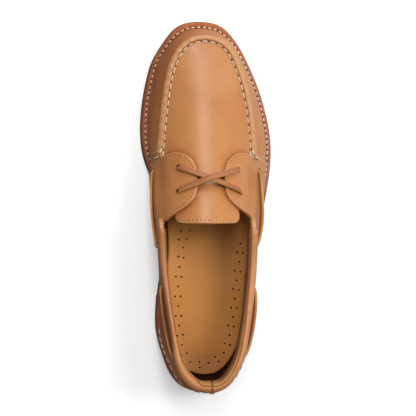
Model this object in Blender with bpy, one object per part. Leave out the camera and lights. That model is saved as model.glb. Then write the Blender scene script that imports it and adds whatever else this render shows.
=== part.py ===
"""Right boat shoe, built the way a moccasin maker does: a heeled rubber outsole and a red
midsole, a hollow leather upper with a raised seam round its plug, a tongue, two facings that
wrap over it, a padded collar, an insole, a crossed thong and four side thongs.

Frame: +Y points to the toe, +X to the outer (little toe) side, +Z up. The origin is on the
floor under the heel, HEEL_REST in front of the heel's back.
Lengths along the shoe, called stations, run from the heel's back to the toe.
"""

import math

import bpy
import numpy as np

# Main sizes, in metres
LENGTH = 0.2995
BALL_WIDTH = 0.1075
INSTEP_HEIGHT = 0.066
COLLAR_HEIGHT = 0.0475
HEEL_REST = 0.036
TOP_START = 0.0125
TOP_END = 0.2818

# Sole
HEEL_LIFT = 0.013
HEEL_LENGTH = 0.078
SHANK_END = 0.174
SPRING_START = 0.225
TOE_SPRING = 0.0095
OUTSOLE_THICKNESS = 0.006
MIDSOLE_THICKNESS = 0.005
SOLE_FLARE = 0.0025
EDGE_ROUND = 0.0008
WELT_MARGIN = 0.0062
HEEL_MARGIN = 0.0048
TOE_MARGIN = 0.0078
GROOVE_WIDTH = 0.0022
GROOVE_DEPTH = 0.0013
GROOVE_PITCH = 0.0085
FOREFOOT_GROOVES = 9
HEEL_GROOVES = 4
FIRST_FOREFOOT_GROOVE = 0.176
FIRST_HEEL_GROOVE = 0.022
GROOVE_SHARE = 0.62

# Upper
WALL = 0.0022
GAP = 0.0003
PLUG_END = 0.1863
SEAM_RIDGE = 0.0024
SEAM_HALF_WIDTH = 0.0026
SEAM_FADE = 0.005
QUARTER_STEP = 0.0009
QUARTER_LEAD = 0.0012
HEEL_SEAM_RIDGE = 0.0012
HEEL_SEAM_REACH = 0.064
HEEL_SEAM_ROW = 4
COLLAR_FRONT = 0.1350
COLLAR_WIDTH = 0.0080
COLLAR_DEPTH = 0.0098

# Tongue, facings and insole
TONGUE_THICKNESS = 0.002
TONGUE_END = 0.1368
TONGUE_HALF_WIDTH = 0.0248
TONGUE_CORNER = 0.0045
FACING_THICKNESS = 0.002
FACING_LIP = 0.0035
CORNER_REACH = 0.3
THROAT_CENTRE = 0.0028
EYELET_RADIUS = 0.0024
INSOLE_THICKNESS = 0.0032
INSOLE_CLEARANCE = 0.001

# Thongs
THONG_WIDTH = 0.0036
THONG_THICKNESS = 0.0018

# Mesh fineness
FRONT_COLUMNS = 33
BACK_COLUMNS = 41
PLUG_STEPS = 13
DENSE = 1440

# Outline of the outsole: station as a share of LENGTH, then the inner and outer edge as shares
# of BALL_WIDTH from the shoe's axis.
SOLE_OUTLINE = (
    # station, medial, lateral
    (0.000, 0.006, 0.006),
    (0.015, -0.163, 0.174),
    (0.035, -0.220, 0.231),
    (0.066, -0.269, 0.280),
    (0.106, -0.308, 0.319),
    (0.157, -0.346, 0.350),
    (0.213, -0.352, 0.366),
    (0.274, -0.338, 0.375),
    (0.340, -0.313, 0.391),
    (0.410, -0.302, 0.420),
    (0.482, -0.318, 0.467),
    (0.551, -0.361, 0.508),
    (0.630, -0.441, 0.534),
    (0.700, -0.467, 0.526),
    (0.766, -0.458, 0.488),
    (0.832, -0.428, 0.428),
    (0.891, -0.381, 0.354),
    (0.941, -0.299, 0.274),
    (0.976, -0.222, 0.190),
    (0.994, -0.139, 0.105),
    (1.000, -0.024, -0.024),
)

# Line along the top of the upper's wall: the collar round the heel, then the fold at the
# facings, then the raised seam round the plug. Station as a share of the way from TOP_START to
# TOP_END, edges as shares of BALL_WIDTH.
TOP_LINE = (
    # station, medial, lateral
    (0.0000, 0.026, 0.026),
    (0.0055, -0.056, 0.084),
    (0.0210, -0.110, 0.139),
    (0.0480, -0.161, 0.188),
    (0.0870, -0.207, 0.232),
    (0.1420, -0.239, 0.265),
    (0.1980, -0.263, 0.289),
    (0.2690, -0.289, 0.313),
    (0.3400, -0.309, 0.328),
    (0.4540, -0.326, 0.336),
    (0.5460, -0.332, 0.345),
    (0.6570, -0.328, 0.356),
    (0.7190, -0.315, 0.351),
    (0.8080, -0.292, 0.324),
    (0.8740, -0.267, 0.285),
    (0.9310, -0.226, 0.232),
    (0.9720, -0.165, 0.171),
    (0.9920, -0.097, 0.099),
    (1.0000, 0.003, 0.003),
)

# Crown of the plug, tongue and instep: station as a share of LENGTH, height over the seat as a
# share of INSTEP_HEIGHT, drop at the sides as a share of INSTEP_HEIGHT, crest as a share of
# BALL_WIDTH from the axis.
CROWN = (
    # station, height, drop, crest
    (0.4513, 1.045, 0.395, 0.000),
    (0.4968, 1.000, 0.385, 0.000),
    (0.5474, 0.925, 0.365, 0.004),
    (0.6131, 0.815, 0.300, 0.010),
    (0.6637, 0.735, 0.265, 0.015),
    (0.7315, 0.645, 0.230, 0.016),
    (0.8145, 0.545, 0.180, 0.012),
    (0.8812, 0.455, 0.140, 0.006),
    (0.9419, 0.335, 0.090, 0.003),
    (1.0000, 0.150, 0.060, 0.000),
)
CROWN_HALF_WIDTH = 0.036
CROWN_POWER = 2.15

# Height of the wall's top under the collar, over the heel's seat, as a share of COLLAR_HEIGHT.
COLLAR_LINE = (
    # station, height
    (0.0000, 1.000),
    (0.0365, 0.998),
    (0.0800, 0.960),
    (0.1629, 0.850),
    (0.2489, 0.754),
    (0.3430, 0.706),
    (0.4472, 0.744),
    (0.6030, 0.800),
)

# How the wall leaves the sole and how it arrives at the top line: pushes outwards as shares of
# BALL_WIDTH, rises and falls as shares of the wall's own height.
WALL_SHAPE = (
    # station, foot_medial, foot_lateral, foot_rise, head_medial, head_lateral, head_fall
    (0.00, 0.016, 0.016, 0.36, 0.034, 0.034, 0.36),
    (0.20, 0.036, 0.036, 0.38, 0.036, 0.036, 0.34),
    (0.36, 0.074, 0.026, 0.36, 0.036, 0.038, 0.30),
    (0.48, 0.085, 0.016, 0.36, 0.062, 0.056, 0.26),
    (0.58, 0.052, 0.014, 0.34, 0.085, 0.070, 0.25),
    (0.68, 0.018, 0.016, 0.34, 0.062, 0.060, 0.27),
    (0.85, 0.014, 0.014, 0.34, 0.050, 0.050, 0.27),
    (1.00, 0.010, 0.010, 0.34, 0.046, 0.046, 0.24),
)

# Edge of a facing, from its front corner round its tip to the collar: reach from the throat's
# centre as a share of BALL_WIDTH, station as a share of LENGTH.
FACING_EDGE = (
    # reach, station
    (0.262, 0.6354),
    (0.205, 0.6354),
    (0.160, 0.6273),
    (0.122, 0.6141),
    (0.102, 0.5969),
    (0.094, 0.5787),
    (0.093, 0.5585),
    (0.098, 0.5393),
    (0.113, 0.5221),
    (0.141, 0.5079),
    (0.186, 0.4938),
    (0.249, 0.4786),
    (0.305, 0.4644),
)

# Eyelets for the crossed thong: offset from the throat's centre and station, in the same shares.
EYELETS = {
    "front_medial": (-0.216, 0.5980),
    "rear_medial": (-0.218, 0.5345),
    "front_lateral": (0.189, 0.5925),
    "rear_lateral": (0.203, 0.5325),
}

# Side thongs: stations of the two ends as shares of LENGTH, and heights of the ends over the
# floor as shares of INSTEP_HEIGHT.
SIDE_THONGS = {
    # name: front station, rear station, front height, rear height
    "front": (0.588, 0.402, 0.590, 0.745),
    "rear": (0.288, 0.108, 0.795, 0.915),
}

# Rows of the wall, from the sole to the foot of the top seam, as shares of that height.
WALL_ROWS = (0.0, 0.12, 0.26, 0.385, 0.43, 0.475, 0.60, 0.74, 0.88, 1.0)

MATERIALS = {
    # name: colour, roughness
    "upper_leather": ((0.55, 0.27, 0.11), 0.42),
    "collar_leather": ((0.53, 0.27, 0.12), 0.45),
    "thong_leather": ((0.36, 0.13, 0.045), 0.6),
    "midsole_red": ((0.38, 0.07, 0.02), 0.5),
    "outsole_rubber": ((0.13, 0.06, 0.035), 0.7),
    "insole_leather": ((0.42, 0.2, 0.065), 0.55),
}


def clear_scene():
    for obj in list(bpy.data.objects):
        bpy.data.objects.remove(obj)


def smooth_step(value, low, high):
    share = np.clip((value - low) / (high - low), 0.0, 1.0)
    return share * share * (3 - 2 * share)


def smooth_curve(stations, values):
    """A natural cubic curve through the rows of a table, as a function."""
    x = np.asarray(stations, float)
    y = np.asarray(values, float)
    n = len(x)
    h = np.diff(x)
    rows = np.eye(n)
    right = np.zeros(n)
    for i in range(1, n - 1):
        rows[i, i - 1 : i + 2] = h[i - 1], 2 * (h[i - 1] + h[i]), h[i]
        right[i] = 6 * ((y[i + 1] - y[i]) / h[i] - (y[i] - y[i - 1]) / h[i - 1])
    bend = np.linalg.solve(rows, right)

    def curve(at):
        at = np.clip(np.asarray(at, float), x[0], x[-1])
        i = np.clip(np.searchsorted(x, at, side="right") - 1, 0, n - 2)
        a = (x[i + 1] - at) / h[i]
        b = (at - x[i]) / h[i]
        cubic = ((a**3 - a) * bend[i] + (b**3 - b) * bend[i + 1]) * h[i] ** 2 / 6
        return a * y[i] + b * y[i + 1] + cubic

    return curve


def column_curves(table):
    """One smooth curve for each column of a table, against its first column."""
    columns = list(zip(*table))
    return [smooth_curve(columns[0], column) for column in columns[1:]]


# Plan curves. A closed curve is an array of (x, station) points that runs clockwise from the
# heel's back along the inner side to the toe and back along the outer side.


def closed_outline(table, start, end, count):
    """A closed curve through a table. The stations bunch at both ends, which makes them round."""
    stations, medial, lateral = (np.array(column) for column in zip(*table))
    turn = np.arccos(1 - 2 * stations) / math.pi
    inner = smooth_curve(turn, medial * BALL_WIDTH)
    outer = smooth_curve(turn, lateral * BALL_WIDTH)
    at = np.linspace(0, 1, count)
    along = start + (end - start) * (1 - np.cos(math.pi * at)) / 2
    inner_side = np.column_stack([inner(at), along])
    outer_side = np.column_stack([outer(at), along])[-2:0:-1]
    return np.vstack([inner_side, outer_side])


def outward(curve):
    """The outward direction in plan at each point of a closed curve."""
    step = np.roll(curve, -1, axis=0) - np.roll(curve, 1, axis=0)
    step /= np.linalg.norm(step, axis=1)[:, None]
    return np.column_stack([-step[:, 1], step[:, 0]])


def inset(curve, distance):
    return curve - outward(curve) * np.reshape(distance, (-1, 1))


def arc_lengths(curve):
    """Distance round a closed curve to each point, with the whole way round at the end."""
    steps = np.linalg.norm(np.diff(np.vstack([curve, curve[:1]]), axis=0), axis=1)
    return np.concatenate([[0], np.cumsum(steps)])


def at_arcs(curve, arcs):
    whole = np.vstack([curve, curve[:1]])
    lengths = arc_lengths(curve)
    return np.column_stack([np.interp(arcs, lengths, whole[:, i]) for i in range(2)])


def nearest_on(curve, points):
    """The nearest point of a closed curve to each point."""
    starts = curve
    steps = np.roll(curve, -1, axis=0) - curve
    found = []
    for point in points:
        share = ((point - starts) * steps).sum(1) / (steps**2).sum(1)
        spots = starts + steps * np.clip(share, 0, 1)[:, None]
        found.append(spots[np.argmin(((spots - point) ** 2).sum(1))])
    return np.array(found)


def margin(station):
    """Width of the sole that shows outside the upper."""
    share = station / LENGTH
    fore = HEEL_MARGIN + (WELT_MARGIN - HEEL_MARGIN) * smooth_step(share, 0.48, 0.62)
    return fore + (TOE_MARGIN - WELT_MARGIN) * smooth_step(share, 0.93, 1.0)


SOLE_EDGE = closed_outline(SOLE_OUTLINE, 0.0, LENGTH, DENSE // 2 + 1)
FEATHER = inset(SOLE_EDGE, margin(SOLE_EDGE[:, 1]))
TOP_EDGE = closed_outline(TOP_LINE, TOP_START, TOP_END, DENSE // 2 + 1)
CROWN_CURVES = column_curves(CROWN)
COLLAR_CURVE = column_curves(COLLAR_LINE)[0]
SHAPE_CURVES = column_curves(WALL_SHAPE)


# Heights over the floor


def ground(station):
    """Underside of the outsole, without the heel: flat at the heel and ball, rising to the toe."""
    drop = HEEL_LIFT * (1 - smooth_step(station, HEEL_LENGTH, SHANK_END))
    rise = np.clip((station - SPRING_START) / (LENGTH - SPRING_START), 0, None)
    return drop + TOE_SPRING * rise**2


def midsole_floor(station):
    return ground(station) + OUTSOLE_THICKNESS + GAP


def seat(station):
    """Underside of the upper and insole, just over the midsole."""
    return midsole_floor(station) + MIDSOLE_THICKNESS + GAP


def crown(x, station):
    """Height of the plug, tongue and instep over any point of the plan."""
    height, drop, crest = (curve(station / LENGTH) for curve in CROWN_CURVES)
    across = np.abs(x - crest * BALL_WIDTH) / CROWN_HALF_WIDTH
    return seat(station) + INSTEP_HEIGHT * (height - drop * across**CROWN_POWER)


def top_height(points):
    """Height of the wall's top line: the collar's line at the back, the crown from there on."""
    station = points[:, 1]
    collar = seat(0.0) + COLLAR_HEIGHT * COLLAR_CURVE(station / LENGTH)
    front = smooth_step(station, COLLAR_FRONT - 0.012, COLLAR_FRONT + 0.006)
    return collar + (crown(points[:, 0], np.maximum(station, COLLAR_FRONT - 0.012)) - collar) * front


# The upper's wall: columns that rise from the sole to the top line as cubic Bezier curves


def to_space(points, height):
    return np.column_stack([points[:, 0], points[:, 1] - HEEL_REST, height])


def wall_controls(arcs, fixed_tops=None):
    """Four control points of the wall's column at each distance round the feather line."""
    foot = at_arcs(FEATHER, arcs)
    top = nearest_on(TOP_EDGE, foot)
    for index, point in (fixed_tops or {}).items():
        top[index] = point
    ahead = at_arcs(FEATHER, np.mod(arcs + 0.002, arc_lengths(FEATHER)[-1]))
    behind = at_arcs(FEATHER, np.mod(arcs - 0.002, arc_lengths(FEATHER)[-1]))
    along = ahead - behind
    along /= np.linalg.norm(along, axis=1)[:, None]
    out = np.column_stack([-along[:, 1], along[:, 0], np.zeros(len(arcs))])
    share = foot[:, 1] / LENGTH
    inner_foot, outer_foot, rise, inner_head, outer_head, fall = (
        curve(share) for curve in SHAPE_CURVES
    )
    side = smooth_step(foot[:, 0], -0.3 * BALL_WIDTH, 0.3 * BALL_WIDTH)
    foot_push = (inner_foot + (outer_foot - inner_foot) * side) * BALL_WIDTH
    head_push = (inner_head + (outer_head - inner_head) * side) * BALL_WIDTH
    start = to_space(foot, seat(foot[:, 1]))
    end = to_space(top, top_height(top))
    tall = end[:, 2] - start[:, 2]
    up = np.array([0.0, 0.0, 1.0])
    leave = start + out * foot_push[:, None] + up * (rise * tall)[:, None]
    arrive = end + out * head_push[:, None] - up * (fall * tall)[:, None]
    return start, leave, arrive, end


def bezier(controls, at):
    a, b, c, d = controls
    at = np.asarray(at, float)[:, None]
    return a * (1 - at) ** 3 + 3 * b * at * (1 - at) ** 2 + 3 * c * at**2 * (1 - at) + d * at**3


def column_points(controls, index, from_top=None, shares=None):
    """Points of one column, by their distance under the top or by shares of the rest."""
    one = [control[index] for control in controls]
    fine = np.linspace(0, 1, 201)
    line = bezier(one, fine)
    length = np.concatenate([[0], np.cumsum(np.linalg.norm(np.diff(line, axis=0), axis=1))])
    if from_top is not None:
        places = length[-1] - np.asarray(from_top)
    else:
        places = np.asarray(shares) * (length[-1] - SEAM_HALF_WIDTH)
    return np.column_stack([np.interp(places, length, line[:, i]) for i in range(3)])


# Meshes


def vertex_normals(points, faces):
    normals = np.zeros_like(points)
    for face in faces:
        corners = points[list(face)]
        ring = np.roll(corners, -1, axis=0)
        normals[list(face)] += np.cross(corners, ring).sum(0)
    return normals / np.linalg.norm(normals, axis=1)[:, None]


def add_object(name, points, faces, material):
    mesh = bpy.data.meshes.new(name)
    mesh.from_pydata([tuple(p) for p in points], [], [tuple(f) for f in faces])
    mesh.materials.append(bpy.data.materials[material])
    mesh.validate()
    mesh.shade_smooth()
    mesh.set_sharp_from_angle(angle=math.radians(40))
    obj = bpy.data.objects.new(name, mesh)
    bpy.context.scene.collection.objects.link(obj)
    return obj


def make_materials():
    for name, (colour, roughness) in MATERIALS.items():
        material = bpy.data.materials.new(name)
        material.use_nodes = True
        shader = material.node_tree.nodes["Principled BSDF"]
        shader.inputs["Base Color"].default_value = (*colour, 1.0)
        shader.inputs["Roughness"].default_value = roughness
        shader.inputs["Metallic"].default_value = 0.0
        material.diffuse_color = (*colour, 1.0)


def sheet_solid(name, points, faces, lift, thickness, material, level_rim=None):
    """A sheet thickened inwards. Its outer side is lifted off the sheet by lift."""
    normals = vertex_normals(points, faces)
    outer = points + normals * np.reshape(lift, (-1, 1))
    inner = points + normals * np.reshape(np.asarray(lift) * 0 + thickness[0], (-1, 1))
    if level_rim is not None:
        outer[level_rim, 2] = inner[level_rim, 2] = points[level_rim, 2]
    n = len(points)
    edges = {}
    for face in faces:
        for a, b in zip(face, face[1:] + face[:1]):
            edges[(a, b)] = True
    rim = [(a, b) for a, b in edges if (b, a) not in edges]
    solid = list(faces) + [tuple(n + i for i in reversed(face)) for face in faces]
    solid += [(b, a, n + a, n + b) for a, b in rim]
    return add_object(name, np.vstack([outer, inner]), solid, material)


def grid_faces(rows, columns, closed=False, start=0):
    """Quads of a grid whose points are numbered row by row."""
    faces = []
    for row in range(rows - 1):
        for column in range(columns if closed else columns - 1):
            after = (column + 1) % columns
            low, high = start + row * columns, start + (row + 1) * columns
            faces.append((low + column, low + after, high + after, high + column))
    return faces


def stack_solid(name, levels, material):
    """A solid between closed plan curves, one over the other, each with a height for its points.
    Point i of a curve lies across from point -i, and strips between them fill the ends."""
    count = len(levels[0][0])
    points = np.vstack([to_space(curve, height) for curve, height in levels])
    faces = [tuple(reversed(face)) for face in grid_faces(len(levels), count, closed=True)]
    last = (len(levels) - 1) * count
    for i in range(count // 2):
        strip = tuple(dict.fromkeys([i, i + 1, count - i - 1, (count - i) % count]))
        faces += [strip, tuple(last + k for k in reversed(strip))]
    return add_object(name, points, faces, material)


def sole_curve(distance, rows):
    """The sole's outline, inset, with its points across from each other."""
    step = (DENSE // 2) // (rows - 1)
    wide = inset(SOLE_EDGE, np.zeros(len(SOLE_EDGE)) + distance)
    return wide[::step]


def make_outsole():
    levels = []
    for distance, lift in (
        (EDGE_ROUND, 0.0),
        (0.0, EDGE_ROUND),
        (0.4 * SOLE_FLARE, OUTSOLE_THICKNESS - EDGE_ROUND),
        (0.4 * SOLE_FLARE + EDGE_ROUND / 2, OUTSOLE_THICKNESS),
    ):
        curve = sole_curve(distance, 61)
        levels.append((curve, ground(curve[:, 1]) + lift))
    outsole = stack_solid("outsole", levels, "outsole_rubber")
    stations = [FIRST_FOREFOOT_GROOVE + i * GROOVE_PITCH for i in range(FOREFOOT_GROOVES)]
    for i, station in enumerate(stations):
        cut_groove(outsole, f"outsole_groove_{i}", station)


def cut_groove(solid, name, station):
    """A shallow groove across a sole's underside, stopped short of both sides."""
    share = min(station / LENGTH, 1.0)
    edges = np.array(SOLE_OUTLINE)
    inner = np.interp(share, edges[:, 0], edges[:, 1]) * BALL_WIDTH * GROOVE_SHARE
    outer = np.interp(share, edges[:, 0], edges[:, 2]) * BALL_WIDTH * GROOVE_SHARE
    floor = float(ground(station)) if solid.name == "outsole" else 0.0
    low, high = floor - 2 * GROOVE_DEPTH, floor + GROOVE_DEPTH
    x = (inner, outer)
    y = (station - HEEL_REST - GROOVE_WIDTH / 2, station - HEEL_REST + GROOVE_WIDTH / 2)
    corners = [(x[i], y[j], z) for z in (low, high) for i, j in ((0, 0), (1, 0), (1, 1), (0, 1))]
    faces = [(3, 2, 1, 0), (4, 5, 6, 7)]
    faces += [(i, (i + 1) % 4, 4 + (i + 1) % 4, 4 + i) for i in range(4)]
    cutter = add_object(name, corners, faces, "outsole_rubber")
    subtract(solid, cutter)


def subtract(solid, cutter):
    cutter.hide_render = True
    cutter.display_type = "WIRE"
    cut = solid.modifiers.new(cutter.name, "BOOLEAN")
    cut.operation = "DIFFERENCE"
    cut.object = cutter


def make_heel():
    levels = []
    depth = HEEL_LIFT - GAP
    rows = 22
    for distance, height in (
        (EDGE_ROUND, 0.0),
        (0.0, EDGE_ROUND),
        (0.0, depth * 0.5),
        (0.0004, depth),
    ):
        edge = inset(SOLE_EDGE, np.zeros(len(SOLE_EDGE)) + distance)
        half = DENSE // 2
        kept = np.searchsorted(edge[: half + 1, 1], HEEL_LENGTH - distance)
        picked = np.unique(np.linspace(0, kept, rows).round().astype(int))
        inner_side = edge[picked]
        outer_side = edge[(len(edge) - picked[1:]) % len(edge)][::-1]
        curve = np.vstack([inner_side, outer_side])
        levels.append((curve, np.full(len(curve), height)))
    heel = stack_solid("heel", levels, "outsole_rubber")
    for i in range(HEEL_GROOVES):
        cut_groove(heel, f"heel_groove_{i}", FIRST_HEEL_GROOVE + i * GROOVE_PITCH * 1.4)


def make_midsole():
    levels = []
    for share, lift in ((0.55, 0.0), (0.5, 0.15), (0.85, 0.85), (1.0, 1.0)):
        curve = sole_curve(share * SOLE_FLARE, 49)
        levels.append((curve, midsole_floor(curve[:, 1]) + lift * MIDSOLE_THICKNESS))
    stack_solid("midsole", levels, "midsole_red")


def make_insole():
    levels = []
    step = (DENSE // 2) // 48
    for share, lift in ((1.0, 0.0), (0.6, 0.5), (1.2, 1.0)):
        curve = inset(FEATHER, np.full(len(FEATHER), WALL + share * INSOLE_CLEARANCE))[::step]
        levels.append((curve, seat(curve[:, 1]) + lift * INSOLE_THICKNESS))
    stack_solid("insole", levels, "insole_leather")


def foot_arc(point):
    """Distance round the feather line to the foot nearest a point of the plan."""
    return arc_lengths(FEATHER)[np.argmin(((FEATHER - point) ** 2).sum(1))]


def wall_arcs():
    """Distances round the feather line of the wall's columns. The columns over the toe come
    first, from the plug's inner end to its outer end, each with the quarter's front edge."""
    whole = arc_lengths(FEATHER)[-1]
    inner, outer = (foot_arc(top_point(side, PLUG_END)) for side in (-1, 1))
    front = list(np.linspace(inner, outer, FRONT_COLUMNS))
    pair = (QUARTER_LEAD, QUARTER_LEAD + 0.0008)
    front[1:1] = [inner + step for step in pair]
    front[-1:-1] = [outer - step for step in reversed(pair)]
    back = np.linspace(outer, inner + whole, BACK_COLUMNS + 2)[1:-1]
    return np.mod(front + list(back), whole)


def top_point(side, station):
    """The point of the top line at a station, on the inner (-1) or outer (+1) side."""
    half = DENSE // 2
    edge = TOP_EDGE[: half + 1] if side < 0 else np.vstack([TOP_EDGE[half:], TOP_EDGE[:1]])[::-1]
    return np.array([np.interp(station, edge[:, 1], edge[:, 0]), station])


def make_upper():
    arcs = wall_arcs()
    last_inner, last_outer = 0, FRONT_COLUMNS + 3
    fixed = {}
    for step, ahead in enumerate((0.0, QUARTER_LEAD, QUARTER_LEAD + 0.0008)):
        fixed[last_inner + step] = top_point(-1, PLUG_END + ahead)
        fixed[last_outer - step] = top_point(1, PLUG_END + ahead)
    controls = wall_controls(arcs, fixed)
    count = len(arcs)
    wall = []
    for i in range(count):
        lower = column_points(controls, i, shares=WALL_ROWS)
        upper = column_points(controls, i, from_top=(SEAM_HALF_WIDTH / 2, 0.0))
        wall.append(np.vstack([lower, upper]))
    wall = np.array(wall).transpose(1, 0, 2)
    rows = wall.shape[0]
    points = list(wall.reshape(-1, 3))
    faces = [tuple(reversed(f)) for f in grid_faces(rows, count, closed=True)]
    top_row = (rows - 1) * count
    station = wall[:, :, 1] + HEEL_REST
    lift = np.zeros((rows, count))
    lift[:, : last_inner + 2] = lift[:, last_outer - 1 :] = QUARTER_STEP
    lift[HEEL_SEAM_ROW] += HEEL_SEAM_RIDGE * (
        1 - smooth_step(station[HEEL_SEAM_ROW], HEEL_SEAM_REACH - 0.006, HEEL_SEAM_REACH)
    )
    faded = PLUG_END + SEAM_FADE
    ridge = SEAM_RIDGE * smooth_step(station[-1], faded, 2 * SEAM_FADE + PLUG_END)
    lift[-1] += ridge
    lift[-2] += 0.8 * ridge
    lift = list(lift.reshape(-1))

    ring = range(last_inner, last_outer + 1)
    tops = np.array([controls[3][i][:2] for i in ring]) + [0, HEEL_REST]
    along = np.gradient(tops, axis=0)
    along /= np.linalg.norm(along, axis=1)[:, None]
    inward = np.column_stack([along[:, 1], -along[:, 0]])
    inward[0], inward[-1] = (1, 0), (-1, 0)
    strips = [[top_row + i for i in ring]]
    for distance, height in ((SEAM_HALF_WIDTH / 2, 0.8), (SEAM_HALF_WIDTH, 0.0)):
        spots = tops + inward * distance
        strip = []
        for k, spot in enumerate(spots):
            strip.append(len(points))
            points.append(to_space(spot[None], crown(spot[None, 0], spot[None, 1]))[0])
            lift.append(height * ridge[last_inner + k])
        strips.append(strip)
    for low, high in zip(strips, strips[1:]):
        for k in range(len(low) - 1):
            faces.append((low[k + 1], low[k], high[k], high[k + 1]))

    edge = strips[-1]
    middle = len(edge) // 2
    before = [edge[middle]]
    for step in range(1, middle + 1):
        left, right = edge[middle - step], edge[middle + step]
        a, b = np.array(points[left])[:2], np.array(points[right])[:2]
        row = [left]
        depth = np.array(points[edge[middle]])[1] - (a[1] + b[1]) / 2
        bow = 0.5 * depth * math.exp(-depth / 0.02)
        for share in np.linspace(0, 1, PLUG_STEPS + 1)[1:-1]:
            spot = a + (b - a) * share + [0, HEEL_REST + bow * (1 - (2 * share - 1) ** 2)]
            row.append(len(points))
            points.append(to_space(spot[None], crown(spot[None, 0], spot[None, 1]))[0])
            lift.append(0.0)
        row.append(right)
        if len(before) == 1:
            faces += [(row[i], row[i + 1], before[0]) for i in range(len(row) - 1)]
        else:
            faces += [
                (row[i], row[i + 1], before[i + 1], before[i]) for i in range(len(row) - 1)
            ]
        before = row
    sheet_solid(
        "upper", np.array(points), faces, lift, (-WALL,), "upper_leather", level_rim=range(count)
    )


def make_tongue():
    across = np.linspace(-1, 1, 13)
    along = np.linspace(0, 1, 9)
    front = PLUG_END - 3 * GAP
    points = []
    for b in along:
        for a in across:
            x = a * TONGUE_HALF_WIDTH
            corner = max(0.0, (abs(x) - TONGUE_HALF_WIDTH + TONGUE_CORNER) / TONGUE_CORNER)
            rear = TONGUE_END + TONGUE_CORNER * (1 - math.sqrt(max(0.0, 1 - corner**2)))
            station = front + (rear - front) * b
            points.append(to_space(np.array([[x, station]]), crown(x, station))[0])
    faces = [tuple(reversed(f)) for f in grid_faces(len(along), len(across))]
    sheet_solid(
        "tongue", np.array(points), faces, np.zeros(len(points)), (-TONGUE_THICKNESS,),
        "upper_leather",
    )


def facing_edge(side, count):
    """Points along a facing's edge, from its front corner to the collar."""
    table = np.array(FACING_EDGE)
    reach = THROAT_CENTRE + side * table[:, 0] * BALL_WIDTH
    spots = np.column_stack([reach, table[:, 1] * LENGTH])
    front = top_point(side, PLUG_END + 0.0002)
    rear = top_point(side, COLLAR_FRONT + 0.0015)
    spots = np.vstack([front, spots, rear])
    steps = np.concatenate([[0], np.cumsum(np.linalg.norm(np.diff(spots, axis=0), axis=1))])
    smooth = [smooth_curve(steps, spots[:, i]) for i in range(2)]
    at = np.linspace(0, steps[-1], count)
    return np.column_stack([curve(at) for curve in smooth])


def make_facing(name, side):
    """A facing: a lip down the wall, then a sheet over the instep out to its rounded edge."""
    count, steps = 22, 7
    edge = facing_edge(side, count)
    stations = np.linspace(edge[0, 1], edge[-1, 1], count)
    fold = np.array([top_point(side, station) for station in stations])
    arcs = np.array([foot_arc(spot) for spot in fold])
    controls = wall_controls(arcs, dict(enumerate(fold)))
    points = []
    for i in range(count):
        taper = 0.25 + 0.75 * math.sin(math.pi * i / (count - 1)) ** 0.5
        drops = np.array([FACING_LIP, FACING_LIP / 2, 0.0]) * taper
        points += list(column_points(controls, i, from_top=drops))
        for share in np.linspace(0, 1, steps + 1)[1:]:
            near = min(max(i, 1), count - 2)
            reach = 1.0 if near == i else CORNER_REACH
            spot = fold[i] + (edge[near] - fold[near]) * reach * share
            points.append(to_space(spot[None], crown(spot[None, 0], spot[None, 1]))[0])
    per = 3 + steps
    faces = grid_faces(count, per)
    if side < 0:
        faces = [tuple(reversed(face)) for face in faces]
    base = np.tile(np.linspace(0, 1, per), count)
    low = QUARTER_STEP * (1 - smooth_step(base, 2 / (per - 1), 5 / (per - 1))) + 1.5 * GAP
    low += 2 * GAP * np.repeat(np.abs(np.linspace(-1, 1, count)) ** 6, per)
    high = FACING_THICKNESS * (0.3 + 0.7 * smooth_step(base, 0.0, 2 / (per - 1)))
    points = np.array(points)
    normals = vertex_normals(points, faces)
    lowered = points + normals * low[:, None]
    facing = sheet_solid(name, lowered, faces, high, (0.0,), "upper_leather")
    for key, (offset, station) in EYELETS.items():
        if key.endswith("medial") == (side < 0):
            punch_eyelet(facing, f"{name}_{key}", offset, station)


def eyelet_place(key):
    offset, station = EYELETS[key]
    x = THROAT_CENTRE + offset * BALL_WIDTH
    return x, station * LENGTH


def crown_normal(x, station):
    step = 0.0005
    slope_x = (crown(x + step, station) - crown(x - step, station)) / (2 * step)
    slope_y = (crown(x, station + step) - crown(x, station - step)) / (2 * step)
    normal = np.array([-float(slope_x), -float(slope_y), 1.0])
    return normal / np.linalg.norm(normal)


def punch_eyelet(facing, name, offset, station):
    x, place = THROAT_CENTRE + offset * BALL_WIDTH, station * LENGTH
    centre = to_space(np.array([[x, place]]), crown(x, place))[0]
    normal = crown_normal(x, place)
    side = np.cross(normal, [0.0, 1.0, 0.0])
    side /= np.linalg.norm(side)
    other = np.cross(normal, side)
    ring = []
    for depth in (-0.004, 0.008):
        for k in range(8):
            turn = 2 * math.pi * k / 8
            spot = side * math.cos(turn) + other * math.sin(turn)
            ring.append(centre + normal * depth + spot * EYELET_RADIUS)
    faces = grid_faces(2, 8, closed=True) + [tuple(range(7, -1, -1)), tuple(range(8, 16))]
    cutter = add_object(name + "_punch", ring, faces, "upper_leather")
    subtract(facing, cutter)


def swept_solid(name, path, outs, section, material):
    """A closed solid swept along a path. The section's first axis follows outs, and its second
    one is square to that and to the path."""
    path = np.asarray(path)
    along = np.gradient(path, axis=0)
    along /= np.linalg.norm(along, axis=1)[:, None]
    outs = np.asarray(outs) - along * (np.asarray(outs) * along).sum(1)[:, None]
    outs /= np.linalg.norm(outs, axis=1)[:, None]
    sides = np.cross(along, outs)
    points = []
    for spot, out, side in zip(path, outs, sides):
        points += [spot + out * a + side * b for a, b in section]
    count = len(section)
    faces = grid_faces(len(path), count, closed=True)
    last = (len(path) - 1) * count
    faces += [tuple(range(count - 1, -1, -1)), tuple(range(last, last + count))]
    return add_object(name, points, faces, material)


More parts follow.
